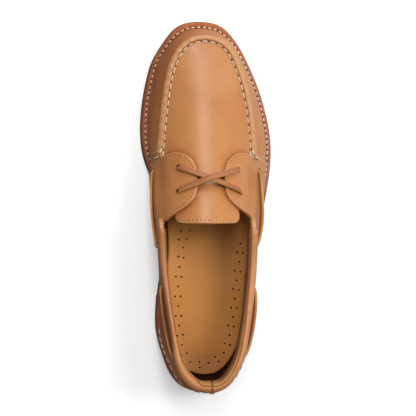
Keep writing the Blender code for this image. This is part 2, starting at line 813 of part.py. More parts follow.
def oval(wide, tall, count):
    turns = [2 * math.pi * k / count for k in range(count)]
    return [(wide / 2 * math.cos(t), tall / 2 * math.sin(t)) for t in turns]


def thong_section():
    """A flat strip with eased corners: its thickness first, its width second."""
    a, b, ease = THONG_THICKNESS / 2, THONG_WIDTH / 2, 0.3 * THONG_THICKNESS
    return [
        (a, b - ease), (a - ease, b), (-a + ease, b), (-a, b - ease),
        (-a, ease - b), (-a + ease, -b), (a - ease, -b), (a, ease - b),
    ]


def make_collar():
    """The padded collar: an oval roll that sits on the quarters' top, open at the throat."""
    lengths = arc_lengths(TOP_EDGE)
    half = DENSE // 2
    inner_end = np.interp(COLLAR_FRONT, TOP_EDGE[: half + 1, 1], lengths[: half + 1])
    outer = np.vstack([TOP_EDGE[half:], TOP_EDGE[:1]])
    outer_end = np.interp(-COLLAR_FRONT, -outer[:, 1], lengths[half:])
    arcs = np.linspace(outer_end - lengths[-1], inner_end, 39)
    plan = at_arcs(TOP_EDGE, np.mod(arcs, lengths[-1]))
    step = np.gradient(plan, axis=0)
    step /= np.linalg.norm(step, axis=1)[:, None]
    outs = np.column_stack([-step[:, 1], step[:, 0]])
    height = top_height(plan) + 2 * GAP + COLLAR_DEPTH / 2
    centre = plan - outs * (WALL - QUARTER_STEP) / 2
    path = to_space(centre, height)
    flat = np.column_stack([outs, np.zeros(len(outs))])
    swept_solid("collar", path, flat, oval(COLLAR_WIDTH, COLLAR_DEPTH, 10), "collar_leather")


def thong_path(side, front, rear, front_height, rear_height, count=9):
    """Points on the wall's outside for a side thong, with the wall's normals there."""
    half = DENSE // 2
    lengths = arc_lengths(FEATHER)
    if side < 0:
        edge, marks = FEATHER[: half + 1], lengths[: half + 1]
    else:
        edge, marks = FEATHER[half:][::-1], lengths[half:-1][::-1]
    stations = np.linspace(front, rear, count) * LENGTH
    arcs = np.interp(stations, edge[:, 1], marks)
    heights = np.linspace(front_height, rear_height, count) * INSTEP_HEIGHT
    spots = []
    for nudge in (-0.001, 0.001):
        controls = wall_controls(arcs + nudge)
        for rise in (-0.001, 0.001):
            row = []
            for i in range(count):
                line = bezier([control[i] for control in controls], np.linspace(0, 1, 201))
                level = heights[i] + rise
                row.append([np.interp(level, line[:, 2], line[:, k]) for k in range(3)])
            spots.append(np.array(row))
    middle = sum(spots) / 4
    normals = np.cross(spots[2] - spots[0], spots[1] - spots[0])
    normals *= np.sign(normals[:, 0] * side)[:, None]
    return middle, normals / np.linalg.norm(normals, axis=1)[:, None]


def make_side_thongs():
    for side, side_name in ((-1, "medial"), (1, "lateral")):
        for key, shape in SIDE_THONGS.items():
            middle, normals = thong_path(side, *shape)
            swell = np.sin(np.linspace(0, math.pi, len(middle))) ** 0.5
            away = QUARTER_STEP + 2 * GAP + THONG_THICKNESS / 2 + 0.0006 * swell
            path = middle + normals * away[:, None]
            swept_solid(
                f"side_thong_{side_name}_{key}", path, normals, thong_section(), "thong_leather"
            )


def thong_bar(name, start, end, extra):
    """One bar of the crossed thong, bowed over the throat between two eyelets."""
    count = 11
    share = np.linspace(0, 1, count)
    a, b = np.array(eyelet_place(start)), np.array(eyelet_place(end))
    plan = a + (b - a) * share[:, None]
    rest = FACING_THICKNESS + 2.5 * GAP + QUARTER_STEP * 0.5 + THONG_THICKNESS / 2
    path, outs = [], []
    for (x, station), along in zip(plan, share):
        normal = crown_normal(x, station)
        spot = to_space(np.array([[x, station]]), crown(x, station))[0]
        hump = extra * math.exp(-(((along - 0.5) / 0.13) ** 2))
        path.append(spot + normal * (rest + hump))
        outs.append(normal)
    return swept_solid(name, path, outs, thong_section(), "thong_leather")


def make_crossed_thong():
    under = thong_bar("thong_cross", "front_medial", "rear_lateral", 0.0)
    over = thong_bar("thong_cross_over", "rear_medial", "front_lateral", 0.0013)
    over.hide_render = True
    over.display_type = "WIRE"
    join = under.modifiers.new("crossing", "BOOLEAN")
    join.operation = "UNION"
    join.object = over


def main():
    clear_scene()
    make_materials()
    make_outsole()
    make_heel()
    make_midsole()
    make_insole()
    make_upper()
    make_tongue()
    make_facing("facing_medial", -1)
    make_facing("facing_lateral", 1)
    make_collar()
    make_side_thongs()
    make_crossed_thong()


main()
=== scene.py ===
"""Right boat shoe with a hand-sewn moccasin seam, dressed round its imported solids.

Lengths are metres in the row frame: +Y points to the toe, +X to the outer side, +Z up.
Plan points are (x, station), with stations counted from the heel's back.
"""

import math

import bmesh
import bpy
import numpy as np
from bpy.props import FloatProperty, FloatVectorProperty, PointerProperty
from mathutils import Matrix, Vector
from mathutils.bvhtree import BVHTree


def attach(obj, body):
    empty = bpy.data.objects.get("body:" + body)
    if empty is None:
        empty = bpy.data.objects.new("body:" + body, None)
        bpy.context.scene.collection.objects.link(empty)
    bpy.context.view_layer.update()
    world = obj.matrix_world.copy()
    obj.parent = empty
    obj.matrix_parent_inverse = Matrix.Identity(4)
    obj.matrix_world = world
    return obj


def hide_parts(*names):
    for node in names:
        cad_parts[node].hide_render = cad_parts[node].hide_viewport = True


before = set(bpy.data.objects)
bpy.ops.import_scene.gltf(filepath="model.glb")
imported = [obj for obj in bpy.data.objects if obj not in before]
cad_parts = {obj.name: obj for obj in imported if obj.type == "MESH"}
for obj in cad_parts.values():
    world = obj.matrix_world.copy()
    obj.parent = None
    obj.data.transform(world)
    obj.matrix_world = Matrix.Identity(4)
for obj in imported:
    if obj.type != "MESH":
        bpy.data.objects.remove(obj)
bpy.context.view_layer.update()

bl_info = {
    "name": "Boat shoe",
    "version": (1, 0, 0),
    "blender": (4, 5, 0),
    "location": "3D View > Sidebar > Boat shoe",
    "description": "Builds a right boat shoe's leather, sole, thongs and stitching",
    "category": "Add Mesh",
}

# Sizes of the solids, repeated from the part's source
LENGTH = 0.2995
BALL_WIDTH = 0.1075
INSTEP_HEIGHT = 0.066
COLLAR_HEIGHT = 0.0475
HEEL_REST = 0.036
TOP_START = 0.0125
TOP_END = 0.2818
HEEL_LIFT = 0.013
HEEL_LENGTH = 0.078
SHANK_END = 0.174
SPRING_START = 0.225
TOE_SPRING = 0.0095
OUTSOLE_THICKNESS = 0.006
MIDSOLE_THICKNESS = 0.005
SOLE_FLARE = 0.0025
EDGE_ROUND = 0.0008
WELT_MARGIN = 0.0062
HEEL_MARGIN = 0.0048
TOE_MARGIN = 0.0078
WALL = 0.0022
GAP = 0.0003
PLUG_END = 0.1863
QUARTER_STEP = 0.0009
COLLAR_FRONT = 0.1350
COLLAR_WIDTH = 0.0080
COLLAR_DEPTH = 0.0098
TONGUE_THICKNESS = 0.002
TONGUE_END = 0.1368
TONGUE_HALF_WIDTH = 0.0248
TONGUE_CORNER = 0.0045
FACING_THICKNESS = 0.002
THROAT_CENTRE = 0.0028
INSOLE_THICKNESS = 0.0032
INSOLE_CLEARANCE = 0.001
CROWN_HALF_WIDTH = 0.036
CROWN_POWER = 2.15
DENSE = 1440

# Sizes of the dressing
SEAM_START = PLUG_END + 0.0006
FACING_REAR = COLLAR_FRONT + 0.0015
MERGE_START = COLLAR_FRONT - 0.012
WELT_SEAM_INSET = 0.0018
TREAD_WAVE = 0.0012
TREAD_WAVE_LENGTH = 0.011
TREAD_PITCH = 0.0052
TREAD_WIDTH = 0.0013
PUNCH_PITCH = 0.00735
PUNCH_OFFSET = 0.0022
EDGE_EASE = 0.0009
BACK_STRIP_HALF = 0.0034
ROLL_JOINT = 2.06
STRAND_TILT = 0.42
FINE_PITCH = 0.00285
FINE_STITCH = 0.0019
SHARP_ANGLE = math.radians(35)

SOLE_OUTLINE = (
    # station, medial, lateral
    (0.000, 0.006, 0.006), (0.015, -0.163, 0.174), (0.035, -0.220, 0.231),
    (0.066, -0.269, 0.280), (0.106, -0.308, 0.319), (0.157, -0.346, 0.350),
    (0.213, -0.352, 0.366), (0.274, -0.338, 0.375), (0.340, -0.313, 0.391),
    (0.410, -0.302, 0.420), (0.482, -0.318, 0.467), (0.551, -0.361, 0.508),
    (0.630, -0.441, 0.534), (0.700, -0.467, 0.526), (0.766, -0.458, 0.488),
    (0.832, -0.428, 0.428), (0.891, -0.381, 0.354), (0.941, -0.299, 0.274),
    (0.976, -0.222, 0.190), (0.994, -0.139, 0.105), (1.000, -0.024, -0.024),
)
TOP_LINE = (
    # station, medial, lateral
    (0.0000, 0.026, 0.026), (0.0055, -0.056, 0.084), (0.0210, -0.110, 0.139),
    (0.0480, -0.161, 0.188), (0.0870, -0.207, 0.232), (0.1420, -0.239, 0.265),
    (0.1980, -0.263, 0.289), (0.2690, -0.289, 0.313), (0.3400, -0.309, 0.328),
    (0.4540, -0.326, 0.336), (0.5460, -0.332, 0.345), (0.6570, -0.328, 0.356),
    (0.7190, -0.315, 0.351), (0.8080, -0.292, 0.324), (0.8740, -0.267, 0.285),
    (0.9310, -0.226, 0.232), (0.9720, -0.165, 0.171), (0.9920, -0.097, 0.099),
    (1.0000, 0.003, 0.003),
)
CROWN = (
    # station, height, drop at the sides, crest
    (0.4513, 1.045, 0.395, 0.000), (0.4968, 1.000, 0.385, 0.000),
    (0.5474, 0.925, 0.365, 0.004), (0.6131, 0.815, 0.300, 0.010),
    (0.6637, 0.735, 0.265, 0.015), (0.7315, 0.645, 0.230, 0.016),
    (0.8145, 0.545, 0.180, 0.012), (0.8812, 0.455, 0.140, 0.006),
    (0.9419, 0.335, 0.090, 0.003), (1.0000, 0.150, 0.060, 0.000),
)
COLLAR_LINE = (
    # station, height
    (0.0000, 1.000), (0.0365, 0.998), (0.0800, 0.960), (0.1629, 0.850),
    (0.2489, 0.754), (0.3430, 0.706), (0.4472, 0.744), (0.6030, 0.800),
)
WALL_SHAPE = (
    # station, foot_medial, foot_lateral, foot_rise, head_medial, head_lateral, head_fall
    (0.00, 0.016, 0.016, 0.36, 0.034, 0.034, 0.36),
    (0.20, 0.036, 0.036, 0.38, 0.036, 0.036, 0.34),
    (0.36, 0.074, 0.026, 0.36, 0.036, 0.038, 0.30),
    (0.48, 0.085, 0.016, 0.36, 0.062, 0.056, 0.26),
    (0.58, 0.052, 0.014, 0.34, 0.085, 0.070, 0.25),
    (0.68, 0.018, 0.016, 0.34, 0.062, 0.060, 0.27),
    (0.85, 0.014, 0.014, 0.34, 0.050, 0.050, 0.27),
    (1.00, 0.010, 0.010, 0.34, 0.046, 0.046, 0.24),
)
FACING_EDGE = (
    # reach, station
    (0.262, 0.6354), (0.205, 0.6354), (0.160, 0.6273), (0.122, 0.6141), (0.102, 0.5969),
    (0.094, 0.5787), (0.093, 0.5585), (0.098, 0.5393), (0.113, 0.5221), (0.141, 0.5079),
    (0.186, 0.4938), (0.249, 0.4786), (0.305, 0.4644),
)
EYELETS = {
    "front_medial": (-0.216, 0.5980), "rear_medial": (-0.218, 0.5345),
    "front_lateral": (0.189, 0.5925), "rear_lateral": (0.203, 0.5325),
}
SIDE_THONGS = {
    # front station, rear station, front height, rear height
    "front": (0.588, 0.402, 0.590, 0.745),
    "rear": (0.288, 0.108, 0.795, 0.915),
}


# Plan curves and heights, as the part's source has them


def smooth_step(value, low, high):
    share = np.clip((value - low) / (high - low), 0.0, 1.0)
    return share * share * (3 - 2 * share)


def smooth_curve(stations, values):
    """A natural cubic curve through the rows of a table, as a function."""
    x, y = np.asarray(stations, float), np.asarray(values, float)
    n = len(x)
    h = np.diff(x)
    rows, right = np.eye(n), np.zeros(n)
    for i in range(1, n - 1):
        rows[i, i - 1 : i + 2] = h[i - 1], 2 * (h[i - 1] + h[i]), h[i]
        right[i] = 6 * ((y[i + 1] - y[i]) / h[i] - (y[i] - y[i - 1]) / h[i - 1])
    bend = np.linalg.solve(rows, right)

    def curve(at):
        at = np.clip(np.asarray(at, float), x[0], x[-1])
        i = np.clip(np.searchsorted(x, at, side="right") - 1, 0, n - 2)
        a, b = (x[i + 1] - at) / h[i], (at - x[i]) / h[i]
        cubic = ((a**3 - a) * bend[i] + (b**3 - b) * bend[i + 1]) * h[i] ** 2 / 6
        return a * y[i] + b * y[i + 1] + cubic

    return curve


def column_curves(table):
    columns = list(zip(*table))
    return [smooth_curve(columns[0], column) for column in columns[1:]]


def closed_outline(table, start, end, count):
    stations, medial, lateral = (np.array(column) for column in zip(*table))
    turn = np.arccos(1 - 2 * stations) / math.pi
    inner = smooth_curve(turn, medial * BALL_WIDTH)
    outer = smooth_curve(turn, lateral * BALL_WIDTH)
    at = np.linspace(0, 1, count)
    along = start + (end - start) * (1 - np.cos(math.pi * at)) / 2
    inner_side = np.column_stack([inner(at), along])
    outer_side = np.column_stack([outer(at), along])[-2:0:-1]
    return np.vstack([inner_side, outer_side])


def bell(value, centre, width):
    """1 at the centre, falling to 0 on both sides."""
    return np.exp(-(((value - centre) / width) ** 2))


def turns(count):
    """Even angles round a circle."""
    return 2 * math.pi * np.arange(count) / count


def unit(vectors):
    """Each row at length 1."""
    return vectors / np.linalg.norm(vectors, axis=1)[:, None]


def outward(curve):
    step = unit(np.roll(curve, -1, axis=0) - np.roll(curve, 1, axis=0))
    return np.column_stack([-step[:, 1], step[:, 0]])


def inset(curve, distance):
    return curve - outward(curve) * np.reshape(distance, (-1, 1))


def marks_along(points):
    """Distance along a line to each of its points."""
    return np.concatenate([[0], np.cumsum(np.linalg.norm(np.diff(points, axis=0), axis=1))])


def arc_lengths(curve):
    return marks_along(np.vstack([curve, curve[:1]]))


def at_arcs(curve, arcs):
    whole = np.vstack([curve, curve[:1]])
    lengths = arc_lengths(curve)
    arcs = np.mod(arcs, lengths[-1])
    return np.column_stack([np.interp(arcs, lengths, whole[:, i]) for i in range(2)])


def nearest_arcs(curve, points):
    """Distance round a closed curve to the place nearest each point."""
    steps = np.roll(curve, -1, axis=0) - curve
    lengths = arc_lengths(curve)
    found = []
    for point in points:
        share = np.clip(((point - curve) * steps).sum(1) / (steps**2).sum(1), 0, 1)
        spots = curve + steps * share[:, None]
        best = np.argmin(((spots - point) ** 2).sum(1))
        found.append(lengths[best] + share[best] * (lengths[best + 1] - lengths[best]))
    return np.array(found)


def margin(station):
    """Width of the sole that shows outside the upper."""
    share = station / LENGTH
    fore = HEEL_MARGIN + (WELT_MARGIN - HEEL_MARGIN) * smooth_step(share, 0.48, 0.62)
    return fore + (TOE_MARGIN - WELT_MARGIN) * smooth_step(share, 0.93, 1.0)


SOLE_EDGE = closed_outline(SOLE_OUTLINE, 0.0, LENGTH, DENSE // 2 + 1)
FEATHER = inset(SOLE_EDGE, margin(SOLE_EDGE[:, 1]))
TOP_EDGE = closed_outline(TOP_LINE, TOP_START, TOP_END, DENSE // 2 + 1)
CROWN_CURVES = column_curves(CROWN)
COLLAR_CURVE = column_curves(COLLAR_LINE)[0]
SHAPE_CURVES = column_curves(WALL_SHAPE)


def ground(station):
    """Underside of the outsole, without the heel."""
    drop = HEEL_LIFT * (1 - smooth_step(station, HEEL_LENGTH, SHANK_END))
    rise = np.clip((station - SPRING_START) / (LENGTH - SPRING_START), 0, None)
    return drop + TOE_SPRING * rise**2


def midsole_floor(station):
    return ground(station) + OUTSOLE_THICKNESS + GAP


def seat(station):
    """Underside of the upper and insole, just over the midsole."""
    return midsole_floor(station) + MIDSOLE_THICKNESS + GAP


def crown(x, station):
    """Height of the plug, tongue and instep over any point of the plan."""
    height, drop, crest = (curve(station / LENGTH) for curve in CROWN_CURVES)
    across = np.abs(x - crest * BALL_WIDTH) / CROWN_HALF_WIDTH
    return seat(station) + INSTEP_HEIGHT * (height - drop * across**CROWN_POWER)


def outer_share(x):
    """0 on the shoe's inner side, 1 on its outer side."""
    return smooth_step(x, -0.3 * BALL_WIDTH, 0.3 * BALL_WIDTH)


def top_height(points):
    """Height of the top line: the collar's at the rear and the instep's in front of it."""
    station = points[:, 1]
    collar = seat(0.0) + COLLAR_HEIGHT * COLLAR_CURVE(station / LENGTH)
    instep = crown(points[:, 0], np.maximum(station, MERGE_START))
    return collar + (instep - collar) * smooth_step(station, MERGE_START, COLLAR_FRONT + 0.006)


def to_space(points, height):
    """Plan points at a height, in the row frame."""
    points = np.asarray(points, float)
    x, station = points[..., 0], points[..., 1]
    return np.stack([x, station - HEEL_REST, np.asarray(height) + 0 * x], -1)


def on_crown(points):
    return to_space(points, crown(points[..., 0], points[..., 1]))


def wall_controls(arcs, tops):
    """Control points of the wall's columns from places round the feather line to their tops."""
    foot = at_arcs(FEATHER, arcs)
    along = unit(at_arcs(FEATHER, arcs + 0.002) - at_arcs(FEATHER, arcs - 0.002))
    out = np.column_stack([-along[:, 1], along[:, 0], np.zeros(len(arcs))])
    shapes = [curve(foot[:, 1] / LENGTH) for curve in SHAPE_CURVES]
    inner_foot, outer_foot, rise, inner_head, outer_head, fall = shapes
    side = outer_share(foot[:, 0])
    foot_push = (inner_foot + (outer_foot - inner_foot) * side) * BALL_WIDTH
    head_push = (inner_head + (outer_head - inner_head) * side) * BALL_WIDTH
    start = to_space(foot, seat(foot[:, 1]))
    end = to_space(tops, top_height(tops))
    tall = end[:, 2] - start[:, 2]
    up = np.array([0.0, 0.0, 1.0])
    leave = start + out * foot_push[:, None] + up * (rise * tall)[:, None]
    arrive = end + out * head_push[:, None] - up * (fall * tall)[:, None]
    return start, leave, arrive, end


def bezier_lines(controls, count):
    """Points along cubic curves, one curve for each row of the four control points."""
    t = np.linspace(0, 1, count)[None, :, None]
    a, b, c, d = (control[:, None] for control in controls)
    return a * (1 - t) ** 3 + 3 * b * t * (1 - t) ** 2 + 3 * c * t**2 * (1 - t) + d * t**3


def wall_grid(tops, shares=None, downs=None):
    """Points of the wall under each point of the top line, by shares of its height from the
    sole or by distances under the top."""
    lines = bezier_lines(wall_controls(nearest_arcs(FEATHER, tops), tops), 121)
    steps = np.linalg.norm(np.diff(lines, axis=1), axis=2)
    lengths = np.concatenate([np.zeros((len(tops), 1)), np.cumsum(steps, axis=1)], axis=1)
    places = lengths[:, -1:] * shares if downs is None else lengths[:, -1:] - downs
    rows = [
        [np.interp(at, length, line[:, k]) for k in range(3)]
        for at, length, line in zip(places, lengths, lines)
    ]
    return np.array(rows).transpose(0, 2, 1)


def top_arc(side, station):
    """Distance round the top line to a station on the inner (-1) or outer (+1) side."""
    half, lengths = DENSE // 2, arc_lengths(TOP_EDGE)
    if side < 0:
        return float(np.interp(station, TOP_EDGE[: half + 1, 1], lengths[: half + 1]))
    edge = np.vstack([TOP_EDGE[half:], TOP_EDGE[:1]])
    return float(np.interp(-station, -edge[:, 1], lengths[half:]))


def top_outward(arcs):
    """Plan directions out of the opening, round the top line."""
    step = unit(at_arcs(TOP_EDGE, arcs + 0.001) - at_arcs(TOP_EDGE, arcs - 0.001))
    return np.column_stack([-step[:, 1], step[:, 0]])


def seam_arcs(count):
    """Distances round the top line along the raised seam."""
    return np.linspace(top_arc(-1, SEAM_START), top_arc(1, SEAM_START), count)


def heel_arcs(station, count):
    """Distances round the top line from a station on the outer side round the heel to the same
    station on the inner side."""
    start = top_arc(1, station) - arc_lengths(TOP_EDGE)[-1]
    return np.linspace(start, top_arc(-1, station), count)


def facing_edge(side, arcs_share):
    """Points along a facing's edge, from its front corner to the collar."""
    table = np.array(FACING_EDGE)
    reach = THROAT_CENTRE + side * table[:, 0] * BALL_WIDTH
    spots = np.column_stack([reach, table[:, 1] * LENGTH])
    front = at_arcs(TOP_EDGE, np.array([top_arc(side, PLUG_END)]))
    rear = at_arcs(TOP_EDGE, np.array([top_arc(side, FACING_REAR)]))
    spots = np.vstack([front, spots, rear])
    steps = marks_along(spots)
    smooth = [smooth_curve(steps, spots[:, i]) for i in range(2)]
    return np.column_stack([curve(np.asarray(arcs_share) * steps[-1]) for curve in smooth])


def eyelet_place(key):
    offset, station = EYELETS[key]
    return np.array([THROAT_CENTRE + offset * BALL_WIDTH, station * LENGTH])


def crown_normal(x, station):
    step = 0.0005
    slope_x = (crown(x + step, station) - crown(x - step, station)) / (2 * step)
    slope_y = (crown(x, station + step) - crown(x, station - step)) / (2 * step)
    normal = np.array([-float(slope_x), -float(slope_y), 1.0])
    return normal / np.linalg.norm(normal)


# Meshes


def grid_faces(rows, columns, start=0, closed=False):
    low = np.arange(rows - 1)[:, None] * columns + start
    here = np.arange(columns if closed else columns - 1)[None]
    after = (here + 1) % columns
    faces = np.stack([low + here, low + after, low + columns + after, low + columns + here], -1)
    return [tuple(face) for face in faces.reshape(-1, 4).tolist()]


def tube_faces(rows, count):
    """The side of a tube and its two flat ends."""
    last = (rows - 1) * count
    ends = [tuple(range(count - 1, -1, -1)), tuple(range(last, last + count))]
    return grid_faces(rows, count, closed=True) + ends


def flipped(faces):
    return [tuple(reversed(face)) for face in faces]


def vertex_normals(points, faces):
    quads = np.array([face if len(face) == 4 else face + face[-1:] for face in faces])
    a, b, c, d = (points[quads[:, k]] for k in range(4))
    area = np.cross(c - a, d - b)
    normals = np.zeros_like(points)
    for k in range(4):
        np.add.at(normals, quads[:, k], area)
    return normals / np.maximum(np.linalg.norm(normals, axis=1), 1e-15)[:, None]


def add_mesh(name, points, faces, finishes, face_finish=None, masks=None,
             sharp=SHARP_ANGLE):
    """A piece of the shoe. masks are values per point that its materials read."""
    mesh = bpy.data.meshes.new(name)
    mesh.from_pydata(np.asarray(points).tolist(), [], faces)
    for finish in finishes:
        mesh.materials.append(bpy.data.materials[finish])
    if face_finish is not None:
        mesh.polygons.foreach_set("material_index", np.asarray(face_finish, dtype=np.int32))
    for key, values in (masks or {}).items():
        layer = mesh.attributes.new(key, "FLOAT", "POINT")
        layer.data.foreach_set("value", np.asarray(values, dtype=np.float32))
    mesh.validate()
    mesh.shade_smooth()
    mesh.set_sharp_from_angle(angle=sharp)
    piece = bpy.data.objects.new(name, mesh)
    bpy.context.scene.collection.objects.link(piece)
    return piece


def claim(piece, slot, *nodes):
    """Says which body the piece rides on and which solids it stands for, by hiding them; slot is
    not used.
    """
    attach(piece, "root")
    if nodes:
        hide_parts(*nodes)
    return piece


def sheet_parts(points, faces, outer, inner):
    """A closed sheet round a surface: its outer side lifted by outer, its inner by inner."""
    normals = vertex_normals(points, faces)
    n = len(points)
    solid = np.vstack([
        points + normals * np.reshape(outer, (-1, 1)), points + normals * np.reshape(inner, (-1, 1))
    ])
    edges = {(a, b) for face in faces for a, b in zip(face, face[1:] + face[:1])}
    rim = [(b, a, n + a, n + b) for a, b in sorted(edges) if (b, a) not in edges]
    back = [tuple(n + i for i in reversed(face)) for face in faces]
    finish = [0] * len(faces) + [1] * len(back) + [2] * len(rim)
    return solid, list(faces) + back + rim, finish


def add_sheet(name, shape, finishes, order=(0, 1, 2), **masks):
    """A closed sheet as a piece. order gives the finishes of its outer side, inner side and rim,
    and each mask has one set of values for the outer side and one for the inner side."""
    points, faces, finish = sheet_parts(*shape)
    masks = {key: np.concatenate(pair) for key, pair in masks.items()}
    return add_mesh(name, points, faces, finishes, [order[f] for f in finish], masks)


def line_distance(points, line):
    """Distance from each point to an open line."""
    best = np.full(len(points), 1.0)
    for a, b in zip(line[:-1], line[1:]):
        step = b - a
        share = np.clip(((points - a) @ step) / max(step @ step, 1e-18), 0, 1)
        best = np.minimum(best, np.linalg.norm(points - a - share[:, None] * step, axis=1))
    return best


def rounded(distance, radius):
    """0 at an edge, 1 from radius on, as a quarter circle."""
    share = np.clip(distance / radius, 0, 1)
    return np.sqrt(np.clip(1 - (1 - share) ** 2, 0, 1))


def ripple(at, seed, length, count=5):
    """A smooth uneven wave along a distance, between about -1 and 1."""
    rng = np.random.default_rng(seed)
    at = np.asarray(at, float)
    total = 0 * at
    for _ in range(count):
        wave = 2 * math.pi * at / (length * rng.uniform(0.6, 1.7))
        total += math.sqrt(1 / count) * np.sin(wave + rng.uniform(0, 6.3))
    return total


def pair_rows(curve, rows):
    """The inner and outer points of a sole curve at fractional indices from the heel's back."""
    half = DENSE // 2
    index = np.arange(half + 1)
    sides = curve[: half + 1], curve[(len(curve) - index) % len(curve)]
    return [
        np.column_stack([np.interp(rows, index, side[:, k]) for k in (0, 1)]) for side in sides
    ]


def sole_rows(stations):
    """Fractional indices along the sole's outline at the given stations."""
    half = DENSE // 2
    return np.interp(stations, SOLE_EDGE[: half + 1, 1], np.arange(half + 1))


def block_parts(rows, across, levels, relief, on_top):
    """A solid between level curves. The first level is a face with a grid, whose plan shift and
    lift come from relief; the last one is left open and its ring is returned."""
    share = np.linspace(0, 1, across + 1)
    left, right = pair_rows(levels[0][0], rows)
    plan = left[:, None] * (1 - share)[None, :, None] + right[:, None] * share[None, :, None]
    shift, lift = relief(plan, share)
    plan = plan + shift
    n = len(rows)
    points = [to_space(plan, levels[0][1](plan[..., 1]) + lift).reshape(-1, 3)]
    faces = grid_faces(n, across + 1)
    if not on_top:
        faces = flipped(faces)
    ring = [(r, 0) for r in range(n)] + [(n - 1, c) for c in range(1, across)]
    ring += [(r, across) for r in range(n - 1, -1, -1)]
    ring += [(0, c) for c in range(across - 1, 0, -1)]
    before = [r * (across + 1) + c for r, c in ring]
    pick = np.array(ring)
    total = n * (across + 1)
    for curve, height in levels[1:]:
        left, right = pair_rows(curve, rows)
        part = share[pick[:, 1]][:, None]
        spots = left[pick[:, 0]] * (1 - part) + right[pick[:, 0]] * part
        points.append(to_space(spots, height(spots[:, 1])))
        here = list(range(total, total + len(ring)))
        total += len(ring)
        for i in range(len(ring)):
            j = (i + 1) % len(ring)
            quad = (before[i], before[j], here[j], here[i])
            faces.append(quad if on_top else quad[::-1])
        before = here
    return np.vstack(points), faces, before


def fill_opening(piece):
    """Closes the open last ring of a block."""
    build = bmesh.new()
    build.from_mesh(piece.data)
    edges = [edge for edge in build.edges if edge.is_boundary]
    bmesh.ops.triangle_fill(build, use_beauty=True, edges=edges)
    bmesh.ops.recalc_face_normals(build, faces=build.faces)
    build.to_mesh(piece.data)
    build.free()
    piece.data.shade_smooth()
    piece.data.set_sharp_from_angle(angle=SHARP_ANGLE)


def sweep(path, outs, section):
    """A solid swept along a path. section is one outline, or one for each point of the path,
    of (out, side) pairs."""
    path, outs = np.asarray(path), np.asarray(outs)
    along = unit(np.gradient(path, axis=0))
    outs = unit(outs - along * (outs * along).sum(1)[:, None])
    sides = np.cross(along, outs)
    section = np.broadcast_to(section, (len(path), *np.shape(section)[-2:]))
    points = path[:, None] + outs[:, None] * section[..., :1] + sides[:, None] * section[..., 1:]
    return points.reshape(-1, 3), tube_faces(len(path), section.shape[1])


def joined(parts):
    """One mesh's points, faces and finishes out of several."""
    points, faces, finish, start = [], [], [], 0
    for part in parts:
        points.append(part[0])
        faces += [tuple(start + i for i in face) for face in part[1]]
        finish += list(part[2]) if len(part) > 2 else [0] * len(part[1])
        start += len(part[0])
    return np.vstack(points), faces, finish


def cut_with(piece, parts, finish):
    """Takes solids out of a piece for good."""
    points, faces, _ = joined(parts)
    cutter = add_mesh(piece.name + "_cutter", points, faces, [finish])
    cut = piece.modifiers.new("cut", "BOOLEAN")
    cut.operation = "DIFFERENCE"
    cut.solver = "EXACT"
    cut.object = cutter
    # The cut's walls take the cutter's finish; the callers pass the dark tone that paints shade in
    # the holes, eyelets and slits.
    cut.material_mode = "TRANSFER"
    bpy.context.view_layer.update()
    graph = bpy.context.evaluated_depsgraph_get()
    shape = bpy.data.meshes.new_from_object(piece.evaluated_get(graph))
    old = piece.data
    piece.modifiers.clear()
    piece.data = shape
    shape.name = old.name
    bpy.data.meshes.remove(old)
    bpy.data.objects.remove(cutter)
    shape.set_sharp_from_angle(angle=SHARP_ANGLE)


# Shapes


def midsole_shape():
    """The red midsole: a ring with a stitching channel in the rim that shows."""
    rows = np.concatenate([
        np.linspace(2, 60, 30), np.linspace(63, 657, 200), np.linspace(660, 718, 30),
    ])
    rim = margin(SOLE_EDGE[:, 1])
    width = rim - SOLE_FLARE
    centre = rim - np.minimum(WELT_SEAM_INSET, 0.5 * width)
    half = np.minimum(0.0008, 0.24 * width)
    flare, thick = SOLE_FLARE, MIDSOLE_THICKNESS
    profile = (
        (rim + 0.007, 0.0), (0.55 * flare, 0.0), (0.49 * flare, 0.0005), (0.55 * flare, 0.0015),
        (0.66 * flare, 0.0027), (0.74 * flare, 0.0030), (0.70 * flare, 0.0033),
        (0.86 * flare, thick - 0.0007), (0.95 * flare, thick - 0.0002), (1.12 * flare, thick),
        (centre - half, thick), (centre - 0.7 * half, thick - 0.0005),
        (centre + 0.7 * half, thick - 0.0005), (centre + half, thick), (rim + 0.007, thick),
    )
    rings = []
    for distance, lift in profile:
        left, right = pair_rows(inset(SOLE_EDGE, np.zeros(len(SOLE_EDGE)) + distance), rows)
        ring = np.vstack([left, right[::-1]])
        rings.append(to_space(ring, midsole_floor(ring[:, 1]) + lift))
    rings = np.array(rings)
    count, columns = rings.shape[:2]
    faces = flipped(grid_faces(count, columns, closed=True))
    last = (count - 1) * columns
    after = [(i + 1) % columns for i in range(columns)]
    faces += [(last + after[i], last + i, i, after[i]) for i in range(columns)]
    return rings.reshape(-1, 3), faces


def tread(waves, depths):
    """Relief of a sole's face: wavy channels across it that stop short of its edge."""

    def relief(plan, share):
        inside = smooth_step(np.abs(share - 0.5), 0.46, 0.43)
        shift = np.zeros_like(plan)
        shift[..., 1] = TREAD_WAVE * np.sin(2 * math.pi * plan[..., 0] / TREAD_WAVE_LENGTH) * inside
        shift[..., 1] *= waves[:, None]
        return shift, depths[:, None] * (inside > 0.5)[None, :]

    return relief


def channel_rows(first, last):
    """Stations of a tread's rows: a low pair between two high ones for each channel."""
    half = TREAD_WIDTH / 2
    steps = ((-half - 0.0003, 0), (-half, 1), (half, 1), (half + 0.0003, 0))
    stations, depths = [], []
    at = first
    while at < last:
        stations += [at + step for step, _ in steps]
        depths += [low for _, low in steps]
        at += TREAD_PITCH
    return np.array(stations), np.array(depths, float)


